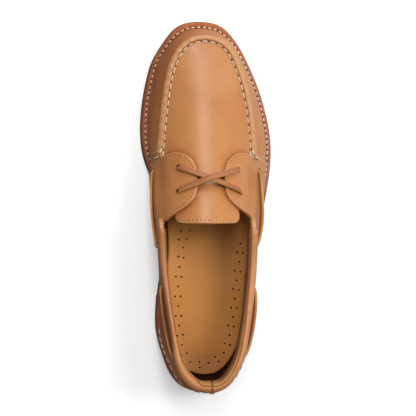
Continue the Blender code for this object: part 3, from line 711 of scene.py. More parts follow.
def rubber_block(before, channels, after, across, depth, profile, base):
    """A block of the sole with a tread in its underside, through rings of a profile."""
    stations, low = channel_rows(*channels)
    rows_at = np.concatenate([before, stations, after])
    depths = np.concatenate([0 * before, low, 0 * after]) * depth
    waves = np.concatenate([0 * before, np.ones(len(stations)), 0 * after])
    levels = [
        (inset(SOLE_EDGE, np.full(len(SOLE_EDGE), distance)), lambda s, lift=lift: base(s) + lift)
        for distance, lift in profile
    ]
    return block_parts(sole_rows(rows_at), across, levels, tread(waves, depths), False)


def outsole_parts():
    before = np.concatenate([np.linspace(0.00003, 0.004, 8), np.linspace(0.007, 0.084, 20)])
    after = np.concatenate([
        np.linspace(0.277, 0.2945, 10), LENGTH - np.linspace(0.004, 0.00003, 8),
    ])
    profile = (
        (EDGE_ROUND, 0.0), (0.25 * EDGE_ROUND, 0.3 * EDGE_ROUND), (0.0, EDGE_ROUND),
        (0.2 * SOLE_FLARE, 0.0028), (0.32 * SOLE_FLARE, 0.0031), (0.22 * SOLE_FLARE, 0.0034),
        (0.4 * SOLE_FLARE, OUTSOLE_THICKNESS - EDGE_ROUND),
        (0.45 * SOLE_FLARE, OUTSOLE_THICKNESS - 0.3 * EDGE_ROUND),
        (0.4 * SOLE_FLARE + EDGE_ROUND, OUTSOLE_THICKNESS),
    )
    return rubber_block(before, (0.088, 0.272), after, 72, 0.0011, profile, ground)


def heel_parts():
    before = np.concatenate([np.linspace(0.00003, 0.003, 6), np.linspace(0.005, 0.0125, 5)])
    after = np.array([HEEL_LENGTH - EDGE_ROUND])
    top = HEEL_LIFT - GAP
    profile = (
        (EDGE_ROUND, 0.0), (0.25 * EDGE_ROUND, 0.3 * EDGE_ROUND), (0.0, EDGE_ROUND),
        (0.0002, 0.5 * top), (0.0004, top - 0.0004), (0.0009, top),
    )
    return rubber_block(before, (0.016, 0.070), after, 56, 0.0013, profile, lambda s: 0 * s)


INSOLE_SHORT = (
    # station and how far the cover stops from the wall, on the outer side
    (0.000, 0.0097), (0.012, 0.0090), (0.0243, 0.0056), (0.0375, 0.0034), (0.051, 0.0022),
    (0.064, 0.0019), (0.090, 0.0016), (0.104, 0.0009), (0.116, 0.0),
)


def insole_parts():
    """The insole's cover: cupped, ending short of the heel's wall, over a board whose dark colour
    is painted shade.
    """
    stations = np.concatenate([
        np.linspace(0.00003, 0.01, 12), np.linspace(0.0125, 0.286, 120),
        LENGTH - np.linspace(0.01, 0.00003, 10),
    ])
    inner_foot, outer_foot = (curve(SOLE_EDGE[:, 1] / LENGTH) for curve in SHAPE_CURVES[:2])
    side = outer_share(SOLE_EDGE[:, 0])
    bulge = 0.27 * (inner_foot + (outer_foot - inner_foot) * side) * BALL_WIDTH
    outer_short = np.interp(FEATHER[:, 1], *zip(*INSOLE_SHORT))
    inner_short = outer_short[0] * smooth_step(FEATHER[:, 0], -0.0275, -0.0170)
    inner_short = inner_short * (1 - smooth_step(FEATHER[:, 1], 0.016, 0.052))
    to_outer = smooth_step(FEATHER[:, 0], -0.004, 0.006)
    short = inner_short + (outer_short - inner_short) * to_outer

    def cup(s):
        return 0.0034 * smooth_step(s, 0.215, 0.16)

    def relief(plan, share):
        border = np.minimum(share, 1 - share)[None] * np.ptp(plan[..., 0], axis=1)[:, None]
        dish = cup(plan[..., 1]) * smooth_step(border, 0.0, 0.012)
        return np.zeros_like(plan), -dish * smooth_step(plan[..., 1], 0.012, 0.030)

    levels = []
    for wide, lift, rise, back in (
        (0.9, 1.0, 1.0, 1.0), (0.25, 0.93, 1.0, 1.0), (0.1, 0.7, 1.0, 1.0), (0.6, 0.4, 0.2, 1.0),
        (0.9, 0.35, 0.0, 1.0), (1.0, 0.35, 0.0, 0.0), (1.0, 0.0, 0.0, 0.0),
    ):
        curve = inset(FEATHER, WALL + wide * INSOLE_CLEARANCE - bulge * rise + short * back)
        levels.append((curve, lambda s, lift=lift, rise=rise: (
            seat(s) + lift * INSOLE_THICKNESS + rise * cup(s)
        )))
    points, faces, ring = block_parts(sole_rows(stations), 44, levels, relief, True)
    board = 4 * len(ring)
    return points, faces, [0] * (len(faces) - board) + [1] * board


PUNCHED = (
    # the middle of the insole's punched border, from the inner side round the heel
    (-0.0162, 0.1165), (-0.0185, 0.1050), (-0.0196, 0.0950),
    (-0.0202, 0.0850), (-0.0202, 0.0720), (-0.0197, 0.0600), (-0.0187, 0.0480), (-0.0170, 0.0380),
    (-0.0140, 0.0292), (-0.0096, 0.0248), (-0.0031, 0.0235), (0.0057, 0.0251), (0.0122, 0.0287),
    (0.0170, 0.0345), (0.0193, 0.0410), (0.0210, 0.0480), (0.0222, 0.0550), (0.0236, 0.0620),
    (0.0244, 0.0690), (0.0250, 0.0765), (0.0258, 0.0830), (0.0272, 0.0970), (0.0286, 0.1045),
    (0.0294, 0.1110), (0.0300, 0.1180), (0.0303, 0.1260),
)
PUNCHED_FRONT = ((-0.0178, 0.1298), (-0.0106, 0.1300), (-0.0196, 0.1230), (-0.0129, 0.1232))


def punched_places():
    """Plan points of the insole's holes: pairs and single ones by turns."""
    line = np.array(PUNCHED)
    marks = marks_along(line)
    curves = [smooth_curve(marks, line[:, k]) for k in (0, 1)]
    heel = marks[10]
    before = 2 * round(heel / (2 * PUNCH_PITCH) - 0.5) + 1
    places = [np.array(spot) for spot in PUNCHED_FRONT]
    for k in range(-before, int((marks[-1] - heel) / PUNCH_PITCH) + 1):
        at = heel + k * (heel / before if k < 0 else PUNCH_PITCH)
        spot = np.array([curve(at) for curve in curves])
        ahead = np.array([curve(at + 0.0005) for curve in curves]) - spot
        across = PUNCH_OFFSET * (np.array([ahead[1], -ahead[0]]) / np.linalg.norm(ahead))
        places += [spot - across, spot + across] if k % 2 == 0 else [spot]
    return places


def prism(centre, ring, out, above, below):
    """A straight punch: an outline carried from below a place to above it."""
    points = np.vstack([centre - out * below + ring, centre + out * above + ring])
    return points, tube_faces(2, len(ring))


def round_punch(centre, out, radius, above, below, sides=10):
    """A plain cylinder to punch a hole with."""
    centre, out = np.asarray(centre, float), np.asarray(out, float)
    side = np.cross(out, [0.0, 1.0, 0.0])
    side /= np.linalg.norm(side)
    turn = turns(sides)[:, None]
    ring = side * np.cos(turn) + np.cross(out, side) * np.sin(turn)
    return prism(centre, ring * radius, out, above, below)


def slot_punch(centre, out, along, length, width, above, below):
    """A slot's cutter, with its long side square to along."""
    side = np.cross(out, along)
    side /= np.linalg.norm(side)
    ahead = np.cross(side, out)
    e = 0.7
    outline = ((1, e), (e, 1), (-e, 1), (-1, e), (-1, -e), (-e, -1), (e, -1), (1, -e))
    ring = np.array([ahead * a * length / 2 + side * b * width / 2 for a, b in outline])
    return prism(centre, ring, out, above, below)


def facing_painted_shade(plan):
    """Painted shade: darker leather beside the facings' edges."""
    near = [line_distance(plan, facing_edge(side, np.linspace(0, 1, 60))) for side in (-1, 1)]
    return 0.78 * np.exp(-np.minimum(*near) / 0.0026)


def low_darkening_and_inner_shade(points):
    """Darker leather near the sole, burnished there, with painted shade over the lower inner side
    that is strongest towards the heel.
    """
    above = points[:, 2] - seat(points[:, 1] + HEEL_REST)
    inner_side = smooth_step(points[:, 0], 0.010, -0.030)
    high = 1 - smooth_step(above, 0.022, 0.036)
    rear = 1 - smooth_step(points[:, 1] + HEEL_REST, 0.085, 0.130)
    foot = (0.25 + 0.35 * inner_side) * np.exp(-above / 0.012)
    return foot + (0.40 + 0.30 * rear) * inner_side * high


def vamp_shape(sizes):
    """The vamp's wall from under one quarter's front round the toe to the other's."""
    start, end = top_arc(-1, PLUG_END - 0.007), top_arc(1, PLUG_END - 0.007)
    arcs = np.linspace(start, end, 210)
    rows = 34
    points = wall_grid(at_arcs(TOP_EDGE, arcs), shares=np.linspace(0, 1, rows)).reshape(-1, 3)
    down = np.linspace(1, 0, rows)[None] * 0.045
    gather = np.exp(-down / 0.009) * (0.00016 + 0.00008 * ripple(arcs, 3, 0.03)[:, None])
    outer = gather * np.cos(2 * math.pi * arcs / sizes.seam_pitch)[:, None] + 0 * down
    outer += 0.00010 * ripple(arcs, 5, 0.05)[:, None] * bell(down, 0.012, 0.008)
    faces = grid_faces(len(arcs), rows)
    return points, faces, outer.reshape(-1), np.full(len(points), -WALL), low_darkening_and_inner_shade(points)


def plug_shape():
    """The plug inside the seam, with its end tucked under the facings."""
    plug_rear, middle, across = 0.1725, 120, 44
    arcs = np.linspace(top_arc(-1, plug_rear), top_arc(1, plug_rear), 2 * middle + 1)
    ring = at_arcs(TOP_EDGE, arcs)
    share = np.linspace(0, 1, across + 1)
    plan, index = [ring[middle]], [[0]]
    for step in range(1, middle + 1):
        a, b = ring[middle - step], ring[middle + step]
        depth = ring[middle][1] - (a[1] + b[1]) / 2
        row = a + (b - a) * share[:, None]
        row[:, 1] += 0.5 * depth * math.exp(-depth / 0.02) * (1 - (2 * share - 1) ** 2)
        index.append(list(range(len(plan), len(plan) + across + 1)))
        plan += list(row)
    faces = [(index[1][i], index[1][i + 1], 0) for i in range(across)]
    for before, row in zip(index[1:], index[2:]):
        faces += [(row[i], row[i + 1], before[i + 1], before[i]) for i in range(across)]
    plan = np.array(plan)
    end_edge = smooth_step(plan[:, 1], plug_rear, plug_rear + 0.002)
    rear_round = rounded(plan[:, 1] - plug_rear, EDGE_EASE)
    outer = 0.00045 + 0.0002 * ripple(plan[:, 1] + 0.5 * plan[:, 0], 8, 0.09)
    outer = outer * 0.6 - 0.0004 * (1 - rear_round) + 0.0004 * (1 - end_edge)
    return on_crown(plan), faces, outer, np.full(len(plan), -0.0014), facing_painted_shade(plan)


def ridge_shape(sizes):
    """The raised seam round the plug, pinched at its stitches."""
    arcs = seam_arcs(620)
    tops = at_arcs(TOP_EDGE, arcs)
    turn = np.linspace(-math.pi / 2, math.pi / 2, 15)
    half = sizes.ridge_half_width
    reach = np.concatenate([[-half - 0.0002], half * np.sin(turn), [half + 0.0002]])
    inner = reach >= -1e-9
    outer_side = wall_grid(tops, downs=-reach[~inner])
    inner_plan = tops[:, None] - top_outward(arcs)[:, None] * reach[inner][None, :, None]
    points = np.concatenate([outer_side, on_crown(inner_plan)], axis=1)
    pinch = np.cos(2 * math.pi * (arcs - arcs[0]) / sizes.seam_pitch)[:, None]
    rise = np.concatenate([[0], np.cos(turn) ** 0.75, [0]])[None]
    ends = smooth_step(np.minimum(arcs - arcs[0], arcs[-1] - arcs), -0.002, 0.004)[:, None]
    inner_half = np.clip(reach / half, 0, 1)[None]
    height = sizes.ridge_height * (1 - 0.10 * pinch * (0.4 + inner_half)) * (0.55 + 0.45 * ends)
    height = height * (1 + 0.05 * ripple(arcs, 11, 0.021)[:, None])
    outer = height * rise - 0.0006 * (rise == 0)
    wear = np.clip(rise, 0, 1) ** 2 + 0 * outer
    # Painted shade in the grooves at the ridge's feet, half as strong at the inner foot.
    burnish = bell(reach, -half, 0.28 * half) + 0.5 * bell(reach, half, 0.22 * half)
    masks = {"wear": wear.reshape(-1) * 0.6, "burnish": (burnish[None] + 0 * outer).reshape(-1)}
    faces = grid_faces(len(arcs), points.shape[1])
    return points.reshape(-1, 3), faces, outer.reshape(-1), np.full(outer.size, -0.0007), masks


def wing_shape(side):
    """A quarter with its facing in one piece: up the wall, over the fold and out to the throat."""
    front, rear = top_arc(side, PLUG_END), top_arc(side, FACING_REAR)
    back = 0.0 if side < 0 else arc_lengths(TOP_EDGE)[-1]
    near = np.array([0, 0.00018, 0.0004, 0.0007, 0.0011, 0.0017])
    span, rest = abs(rear - front), abs(back - rear)
    steps = np.concatenate([
        near, np.linspace(0.003, span - 0.0013, 36), span + np.linspace(0, rest - 0.0022, 84),
        span + rest - near[::-1],
    ])
    arcs = front + np.sign(back - front) * steps
    tops = at_arcs(TOP_EDGE, arcs)
    rows = 34
    wall = wall_grid(tops, shares=np.linspace(0, 1, rows))
    points = list(wall.reshape(-1, 3))
    last = int(np.argmin(np.abs(steps - span)))
    edge = facing_edge(side, steps[: last + 1] / span)
    shares = 1 - (1 - np.arange(1, 29) / 28.0) ** 1.8
    flap, distance = {}, [0.0] * len(points)
    for c in range(1, last):
        flap[c] = [c * rows + rows - 1] + list(range(len(points), len(points) + len(shares)))
        points += list(on_crown(tops[c] + (edge[c] - tops[c]) * shares[:, None]))
        distance += list(shares * np.linalg.norm(edge[c] - tops[c]))
    points = np.array(points)
    faces = grid_faces(len(arcs), rows)
    for c in range(1, last - 1):
        low, high = flap[c], flap[c + 1]
        faces += [(low[k], low[k + 1], high[k + 1], high[k]) for k in range(len(low) - 1)]
    for corner, column, order in ((rows - 1, 1, 1), (last * rows + rows - 1, last - 1, -1)):
        line = flap[column]
        faces += [(corner, line[k], line[k + 1])[::order] for k in range(len(line) - 1)]
    if side < 0:
        faces = flipped(faces)

    on_flap = len(points) - len(arcs) * rows
    from_front = np.concatenate([np.repeat(steps, rows), np.full(on_flap, 0.02)])
    to_back = np.concatenate([np.repeat(steps[-1] - steps, rows), np.full(on_flap, 1.0)])
    to_edge = line_distance(points, np.vstack([wall[0], on_crown(edge)]))
    border = np.minimum(to_edge, to_back)
    edge_round = rounded(border, EDGE_EASE)
    flap_share = smooth_step(np.array(distance), 0.0, 0.009)
    flat = QUARTER_STEP + (1.5 * GAP + FACING_THICKNESS - QUARTER_STEP) * flap_share
    inner = -WALL * smooth_step(from_front, 0.006, 0.010) + 0.00005
    inner = inner + (1.5 * GAP - inner) * flap_share
    outer = inner + (flat - inner) * (0.45 + 0.55 * edge_round)
    outer = np.where(border > EDGE_EASE, flat, outer)
    outer += 0.00012 * ripple(points[:, 1] + 0.6 * points[:, 2], 21 + side, 0.06) * edge_round
    return points, faces, outer, inner, to_edge


def cup_share(station):
    """How far up the wall the heel cup reaches."""
    return 0.045 + 0.425 * smooth_step(station, 0.056, 0.030)


def heel_cup_shape():
    """The low cup that is sewn round the heel by hand."""
    arcs = heel_arcs(0.058, 130)
    tops = at_arcs(TOP_EDGE, arcs)
    rows = 20
    spread = 1 - (1 - np.linspace(0, 1, rows)) ** 1.5
    grid = wall_grid(tops, shares=cup_share(tops[:, 1])[:, None] * spread[None])
    points = grid.reshape(-1, 3)
    to_edge = line_distance(points, grid[:, -1])
    lip = 0.00030 * bell(to_edge, 0.0021, 0.0012)
    gather = 0.00007 * np.cos(2 * math.pi * np.repeat(arcs, rows) / 0.0068)
    gather = gather * np.exp(-to_edge / 0.004)
    outer = QUARTER_STEP + 0.0002 + 0.0006 * rounded(to_edge, 0.0010) + lip + gather
    inner = np.full(len(points), QUARTER_STEP - 0.0003)
    return points, grid_faces(len(arcs), rows), outer, inner, to_edge


def back_strip_shape():
    """The narrow strip that covers the seam at the heel's back."""
    arcs = np.linspace(-BACK_STRIP_HALF, BACK_STRIP_HALF, 17)
    rows = 36
    grid = wall_grid(at_arcs(TOP_EDGE, arcs), shares=np.linspace(0.36, 0.985, rows))
    to_side = BACK_STRIP_HALF - np.abs(np.repeat(arcs, rows))
    outer = QUARTER_STEP + 0.0002 + 0.0009 * rounded(to_side, 0.0008)
    inner = np.full(len(outer), QUARTER_STEP - 0.0003)
    return grid.reshape(-1, 3), grid_faces(len(arcs), rows), outer, inner


def tongue_shape():
    """The tongue, sunk under the facings towards the toe."""
    across, along, front = 41, 46, 0.1835
    lateral = np.linspace(-1, 1, across)
    lateral = np.sign(lateral) * (1 - (1 - np.abs(lateral)) ** 1.4)
    share = 1 - (1 - np.linspace(0, 1, along)) ** 1.5
    x = lateral * TONGUE_HALF_WIDTH
    corner = np.clip((np.abs(x) - TONGUE_HALF_WIDTH + TONGUE_CORNER) / TONGUE_CORNER, 0, 1)
    rear = TONGUE_END + TONGUE_CORNER * (1 - np.sqrt(np.clip(1 - corner**2, 0, None)))
    station = front + (rear - front)[None] * share[:, None]
    plan = np.stack([x[None] + 0 * station, station], -1).reshape(-1, 2)
    lines = [np.column_stack([x, rear])]
    lines += [np.array([[s * TONGUE_HALF_WIDTH, front], [s * TONGUE_HALF_WIDTH, rear[0]]])
              for s in (-1, 1)]
    edge = np.minimum.reduce([line_distance(plan, line) for line in lines])
    under = -0.0030 * smooth_step(plan[:, 1], 0.160, 0.178)
    outer = under - 0.0007 * (1 - rounded(edge, EDGE_EASE))
    waves = ripple(plan[:, 1] * 1.2 + 0.3 * plan[:, 0], 31, 0.028)
    outer += 0.00022 * waves * smooth_step(edge, 0, 0.006)
    faces = flipped(grid_faces(along, across))
    return on_crown(plan), faces, outer, under - TONGUE_THICKNESS, edge, facing_painted_shade(plan)


def roll_line(arcs):
    """Centre line of the collar's roll over places round the top line, and its directions out."""
    plan = at_arcs(TOP_EDGE, arcs)
    outs = top_outward(arcs)
    centre = plan - outs * (WALL - QUARTER_STEP) / 2
    height = top_height(plan) + 2 * GAP + COLLAR_DEPTH / 2
    height -= 0.0042 * smooth_step(plan[:, 1], COLLAR_FRONT - 0.004, COLLAR_FRONT + 0.0045)
    return to_space(centre, height), np.column_stack([outs, 0 * outs[:, 0]])


def roll_parts():
    """The padded roll: leather outside, lining inside, with the seam between them on top."""
    arcs = heel_arcs(COLLAR_FRONT - 0.0030, 330)
    path, outs = roll_line(arcs)
    station = path[:, 1] + HEEL_REST
    heel = bell(station, 0, 0.034)
    ends = np.minimum(arcs - arcs[0], arcs[-1] - arcs)
    slim = 0.74 + 0.26 * rounded(ends, 0.0022)[:, None]
    medial = smooth_step(path[:, 0], 0.002, -0.012)
    hidden = smooth_step(path[:, 0], -0.004, -0.011)
    hidden = hidden * (1 - 0.7 * smooth_step(station, 0.088, 0.115))
    shown = smooth_step(path[:, 0], 0.0, 0.012) * (1 - smooth_step(station, 0.050, 0.085))
    joint = (ROLL_JOINT - 0.28 * heel + 0.80 * hidden - 0.30 * shown)[:, None]
    count, seam, lining_end = 40, 13, 31
    even = turns(count)
    after = joint + (even - even[seam]) * (2 * math.pi - joint) / (2 * math.pi - even[seam])
    turn = np.where(even < even[seam], even * joint / even[seam], after)
    groove = 1 - 0.13 * bell(turn, joint, 0.11)
    back_seam = 1 - 0.14 * bell(arcs, 0, 0.00045) + 0.03 * bell(np.abs(arcs), 0.0016, 0.0008)
    puff = groove * slim * back_seam[:, None] * (
        1 + 0.012 * ripple(arcs, 41, 0.024)[:, None] * np.cos(turn)
        + 0.010 * ripple(arcs, 43, 0.011)[:, None] * np.sin(turn)
    )
    narrow = 0.05 + 0.43 * smooth_step(station, 0.016, 0.055)
    narrow = narrow - 0.26 * smooth_step(station, 0.070, 0.115)
    wide = COLLAR_WIDTH / 2 * (1 + 0.15 * heel - narrow * medial)[:, None]
    section = [wide * np.cos(turn) * puff, COLLAR_DEPTH / 2 * np.sin(turn) * puff]
    outwards = 0.0016 * medial * bell(station, 0.026, 0.014) - 0.0005 * heel * (1 - medial)
    path = path + outs * outwards[:, None]
    points, faces = sweep(path, outs, np.stack(section, -1))
    columns = np.arange(count)
    lining = np.tile((columns >= seam) & (columns < lining_end), len(arcs) - 1)
    outer_side = smooth_step(path[:, 0], 0.0, 0.015)[:, None]
    # Darker along the back seam and the joint; painted shade over the roll's inner face, deeper on
    # the outer side.
    burnish = bell(arcs, 0, 0.0006)[:, None] + 0.8 * bell(turn, joint, 0.09)
    burnish = burnish + (0.45 + 0.25 * outer_side) * smooth_step(np.cos(turn), -0.2, -0.9)
    burnish = burnish + 0.32 * outer_side * smooth_step(np.cos(turn), 0.0, -0.35)
    finish = list(lining.astype(int)) + [0, 0]
    return points, faces, finish, {"burnish": np.clip(burnish, 0, 1).reshape(-1)}


def roll_seam_parts():
    """The leather under the roll that joins it to the quarters."""
    arcs = heel_arcs(COLLAR_FRONT + 0.0035, 300)
    path, outs = roll_line(arcs)
    path[:, 2] -= COLLAR_DEPTH / 2
    turn = turns(10)
    front = smooth_step(path[:, 1] + HEEL_REST, COLLAR_FRONT - 0.010, COLLAR_FRONT)
    tall = (0.0024 + 0.0012 * front)[:, None]
    section = np.stack([0.0012 * np.cos(turn) + 0 * tall, tall * np.sin(turn)], -1)
    points, faces = sweep(path, outs, section)
    return points, faces, {"burnish": np.full(len(points), 0.6)}


def roll_end_parts():
    """The folded ends of the roll's leather, tucked under the facings."""
    parts = []
    turn = turns(20)
    for side in (-1, 1):
        first, last = (top_arc(side, COLLAR_FRONT + ahead) for ahead in (-0.0036, 0.0045))
        arcs = np.linspace(first, last, 24)[::-side]
        path, outs = roll_line(arcs)
        path = path + outs * 0.0004
        path[:, 2] += 0.0006
        along = np.minimum(arcs - arcs[0], arcs[-1] - arcs)
        slim = (0.5 + 0.5 * rounded(along, 0.0025))[:, None]
        slim = slim * (1 - 0.16 * bell(turn, math.pi / 2, 0.2))
        section = np.stack([0.0023 * np.cos(turn) * slim, 0.0034 * np.sin(turn) * slim], -1)
        parts.append(sweep(path, outs, section))
    points, faces, _ = joined(parts)
    return points, faces, {"wear": np.full(len(points), 0.55)}


def heel_tab_parts():
    """The end of the back strip, folded up behind the roll."""
    path, outs = roll_line(np.zeros(1))
    path, out = path[0], outs[0]
    centre = path - out * 0.0005
    reach = COLLAR_WIDTH / 2 * 1.15
    turn = np.linspace(-1.15, 0.30, 12)
    along = centre + out * ((reach + 0.0004) * np.cos(turn))[:, None]
    along[:, 2] += (COLLAR_DEPTH / 2 + 0.0004) * np.sin(turn)
    away = out * np.cos(turn)[:, None]
    away[:, 2] += np.sin(turn)
    return strip_parts(along, away, 0.0040, 0.0011)


def strip_section(width, thickness, ease=0.3):
    """A flat strip's outline, with the points that bound its raw edges."""
    a, b, e = thickness / 2, width / 2, ease * thickness
    return np.array([
        (a, b - e), (a - 0.3 * e, b - 0.3 * e), (a - e, b), (-a + e, b), (-a, b - e),
        (-a, 0.0), (-a, e - b), (-a + e, -b), (a - e, -b), (a - 0.3 * e, 0.3 * e - b), (a, e - b),
        (a * 1.06, 0.0),
    ])


STRIP_RAW = (1, 2, 3, 7, 8, 9)


def strip_parts(path, outs, width, thickness):
    points, faces = sweep(path, outs, strip_section(width, thickness))
    count = 12
    finish = [1 if (k % count) in STRIP_RAW else 0 for k in range(count * (len(path) - 1))]
    return points, faces, finish + [1, 1]


def thong_path(side, front, rear, front_height, rear_height, count=9):
    """Points on the wall's outside for a side thong, with the wall's normals there."""
    half, lengths = DENSE // 2, arc_lengths(FEATHER)
    if side < 0:
        edge, marks = FEATHER[: half + 1], lengths[: half + 1]
    else:
        edge, marks = FEATHER[half:][::-1], lengths[half:-1][::-1]
    stations = np.linspace(front, rear, count) * LENGTH
    arcs = np.interp(stations, edge[:, 1], marks)
    heights = np.linspace(front_height, rear_height, count) * INSTEP_HEIGHT
    spots = []
    for nudge in (-0.001, 0.001):
        foot = at_arcs(FEATHER, arcs + nudge)
        tops = at_arcs(TOP_EDGE, nearest_arcs(TOP_EDGE, foot))
        lines = bezier_lines(wall_controls(arcs + nudge, tops), 201)
        for rise in (-0.001, 0.001):
            spots.append(np.array([
                [np.interp(heights[i] + rise, lines[i, :, 2], lines[i, :, k]) for k in range(3)]
                for i in range(count)
            ]))
    middle = sum(spots) / 4
    normals = np.cross(spots[2] - spots[0], spots[1] - spots[0])
    normals *= np.sign(normals[:, 0] * side)[:, None]
    return middle, unit(normals)


SIDE_LEANS = {
    # how far each side thong leans out at its top, and how far it stands off the wall
    (-1, "front"): (0.22, -0.0002), (-1, "rear"): (0.40, 0.0001),
    (1, "front"): (0.80, 0.0001), (1, "rear"): (1.00, 0.0004),
}


def side_thong(side, shape, width, thickness, tilt, bow):
    """A side thong that leans out from the wall and bends into a slit at each end."""
    middle, normals = thong_path(side, *shape, count=25)
    swell = np.sin(np.linspace(0, math.pi, len(middle))) ** 0.5
    lean = tilt * swell
    away = QUARTER_STEP + thickness / 2 + bow * swell + width / 2 * np.sin(lean)
    path = list(middle + normals * away[:, None])
    rising = np.cross(normals, np.gradient(middle, axis=0))
    rising *= (np.sign(rising[:, 2]) / np.linalg.norm(rising, axis=1))[:, None]
    outs = list(normals * np.cos(lean)[:, None] - rising * np.sin(lean)[:, None])
    radius = 0.0022
    for end, inner in ((0, 1), (-1, -2)):
        along, out = path[end] - path[inner], outs[end]
        along /= np.linalg.norm(along)
        spots, turned = [], []
        for angle in (0.5, 1.0, 1.4):
            sine, cosine = math.sin(angle), math.cos(angle)
            spots.append(path[end] + along * radius * sine - out * radius * (1 - cosine))
            turned.append(out * cosine + along * sine)
        spots.append(spots[-1] - out * 0.0014)
        turned.append(turned[-1])
        if end == 0:
            path, outs = spots[::-1] + path, turned[::-1] + outs
        else:
            path, outs = path + spots, outs + turned
    return strip_parts(path, outs, width, thickness)


def quarter_cuts(side, sizes):
    """Cutters for a quarter's eyelets and for the slits of its side thongs."""
    cuts = []
    radius = 0.0019 if side < 0 else 0.0016
    for key in EYELETS:
        if key.endswith("medial") == (side < 0):
            spot = eyelet_place(key)
            out = crown_normal(*spot)
            cuts.append(round_punch(on_crown(spot[None])[0], out, radius, 0.006, 0.001, 16))
    for shape in SIDE_THONGS.values():
        middle, normals = thong_path(side, *shape, count=25)
        for end, inner in ((0, 2), (-1, -3)):
            along = middle[end] - middle[inner]
            along /= np.linalg.norm(along)
            centre = middle[end] + along * 0.0018 + normals[end] * QUARTER_STEP
            wide = sizes.thong_width * 1.1
            cuts.append(slot_punch(centre, normals[end], along, 0.0030, wide, 0.002, 0.0016))
    return cuts


def cross_strand(start, end, hump, width, thickness):
    """A strand of the crossed thong, out of one eyelet, over the throat and into another."""
    share = np.linspace(0, 1, 31)
    a, b = eyelet_place(start), eyelet_place(end)
    ahead = (b - a) / np.linalg.norm(b - a)
    a, b = a - ahead * 0.0010, b + ahead * 0.0014
    plan = a + (b - a) * share[:, None]
    rest = FACING_THICKNESS + 2.5 * GAP + QUARTER_STEP * 0.3 + thickness / 2
    sinks = 0.0042 * (bell(share, 0, 0.045) + bell(share, 1, 0.045))
    path, outs = [], []
    for spot, lift in zip(plan, rest + hump * bell(share, 0.5, 0.13) - sinks):
        normal = crown_normal(*spot)
        path.append(on_crown(spot[None])[0] + normal * (lift + 0.0004))
        toeward = np.cross(normal, [ahead[0], ahead[1], 0.0])
        toeward *= np.sign(toeward[1]) / np.linalg.norm(toeward)
        outs.append(normal * math.cos(STRAND_TILT) + toeward * math.sin(STRAND_TILT))
    return strip_parts(path, outs, width, thickness)


# Materials


def new_group(name, inputs, outputs):
    group = bpy.data.node_groups.new(name, "ShaderNodeTree")
    for label, kind, default in inputs:
        socket = group.interface.new_socket(label, in_out="INPUT", socket_type=kind)
        socket.default_value = default
    for label, kind in outputs:
        group.interface.new_socket(label, in_out="OUTPUT", socket_type=kind)
    return group, group.nodes.new("NodeGroupInput"), group.nodes.new("NodeGroupOutput")


def node(tree, kind, **settings):
    """A shader node. Keys are its properties, or its inputs by number as in_0."""
    made = tree.nodes.new(kind)
    for key, value in settings.items():
        if key.startswith("in_"):
            socket = made.inputs[int(key[3:])]
            if isinstance(value, bpy.types.NodeSocket):
                tree.links.new(value, socket)
            else:
                socket.default_value = value
        else:
            setattr(made, key, value)
    return made


def maths(tree, operation, a, b=0.0, clamp=False):
    made = node(tree, "ShaderNodeMath", operation=operation, use_clamp=clamp, in_0=a, in_1=b)
    return made.outputs[0]


def times(tree, a, b, clamp=False):
    return maths(tree, "MULTIPLY", a, b, clamp)


def mixed(tree, factor, a, b, blend="MIX"):
    made = node(tree, "ShaderNodeMix", data_type="RGBA", blend_type=blend)
    for index, value in ((0, factor), (6, a), (7, b)):
        if isinstance(value, bpy.types.NodeSocket):
            tree.links.new(value, made.inputs[index])
        else:
            made.inputs[index].default_value = value
    return made.outputs[2]


def mapped(tree, value, low, high, to_low=0.0, to_high=1.0):
    made = node(
        tree, "ShaderNodeMapRange", interpolation_type="SMOOTHSTEP",
        in_0=value, in_1=low, in_2=high, in_3=to_low, in_4=to_high,
    )
    return made.outputs[0]


def noise(tree, where, scale, detail=3.0, rough=0.5):
    made = node(tree, "ShaderNodeTexNoise", in_0=where, in_2=scale, in_3=detail, in_4=rough)
    return made.outputs[0]


def effect_outputs(tree, out, **values):
    for name, value in values.items():
        tree.links.new(value, out.inputs[name])


EFFECT = (
    ("Colour", "NodeSocketColor"), ("Roughness", "NodeSocketFloat"), ("Height", "NodeSocketFloat"),
)


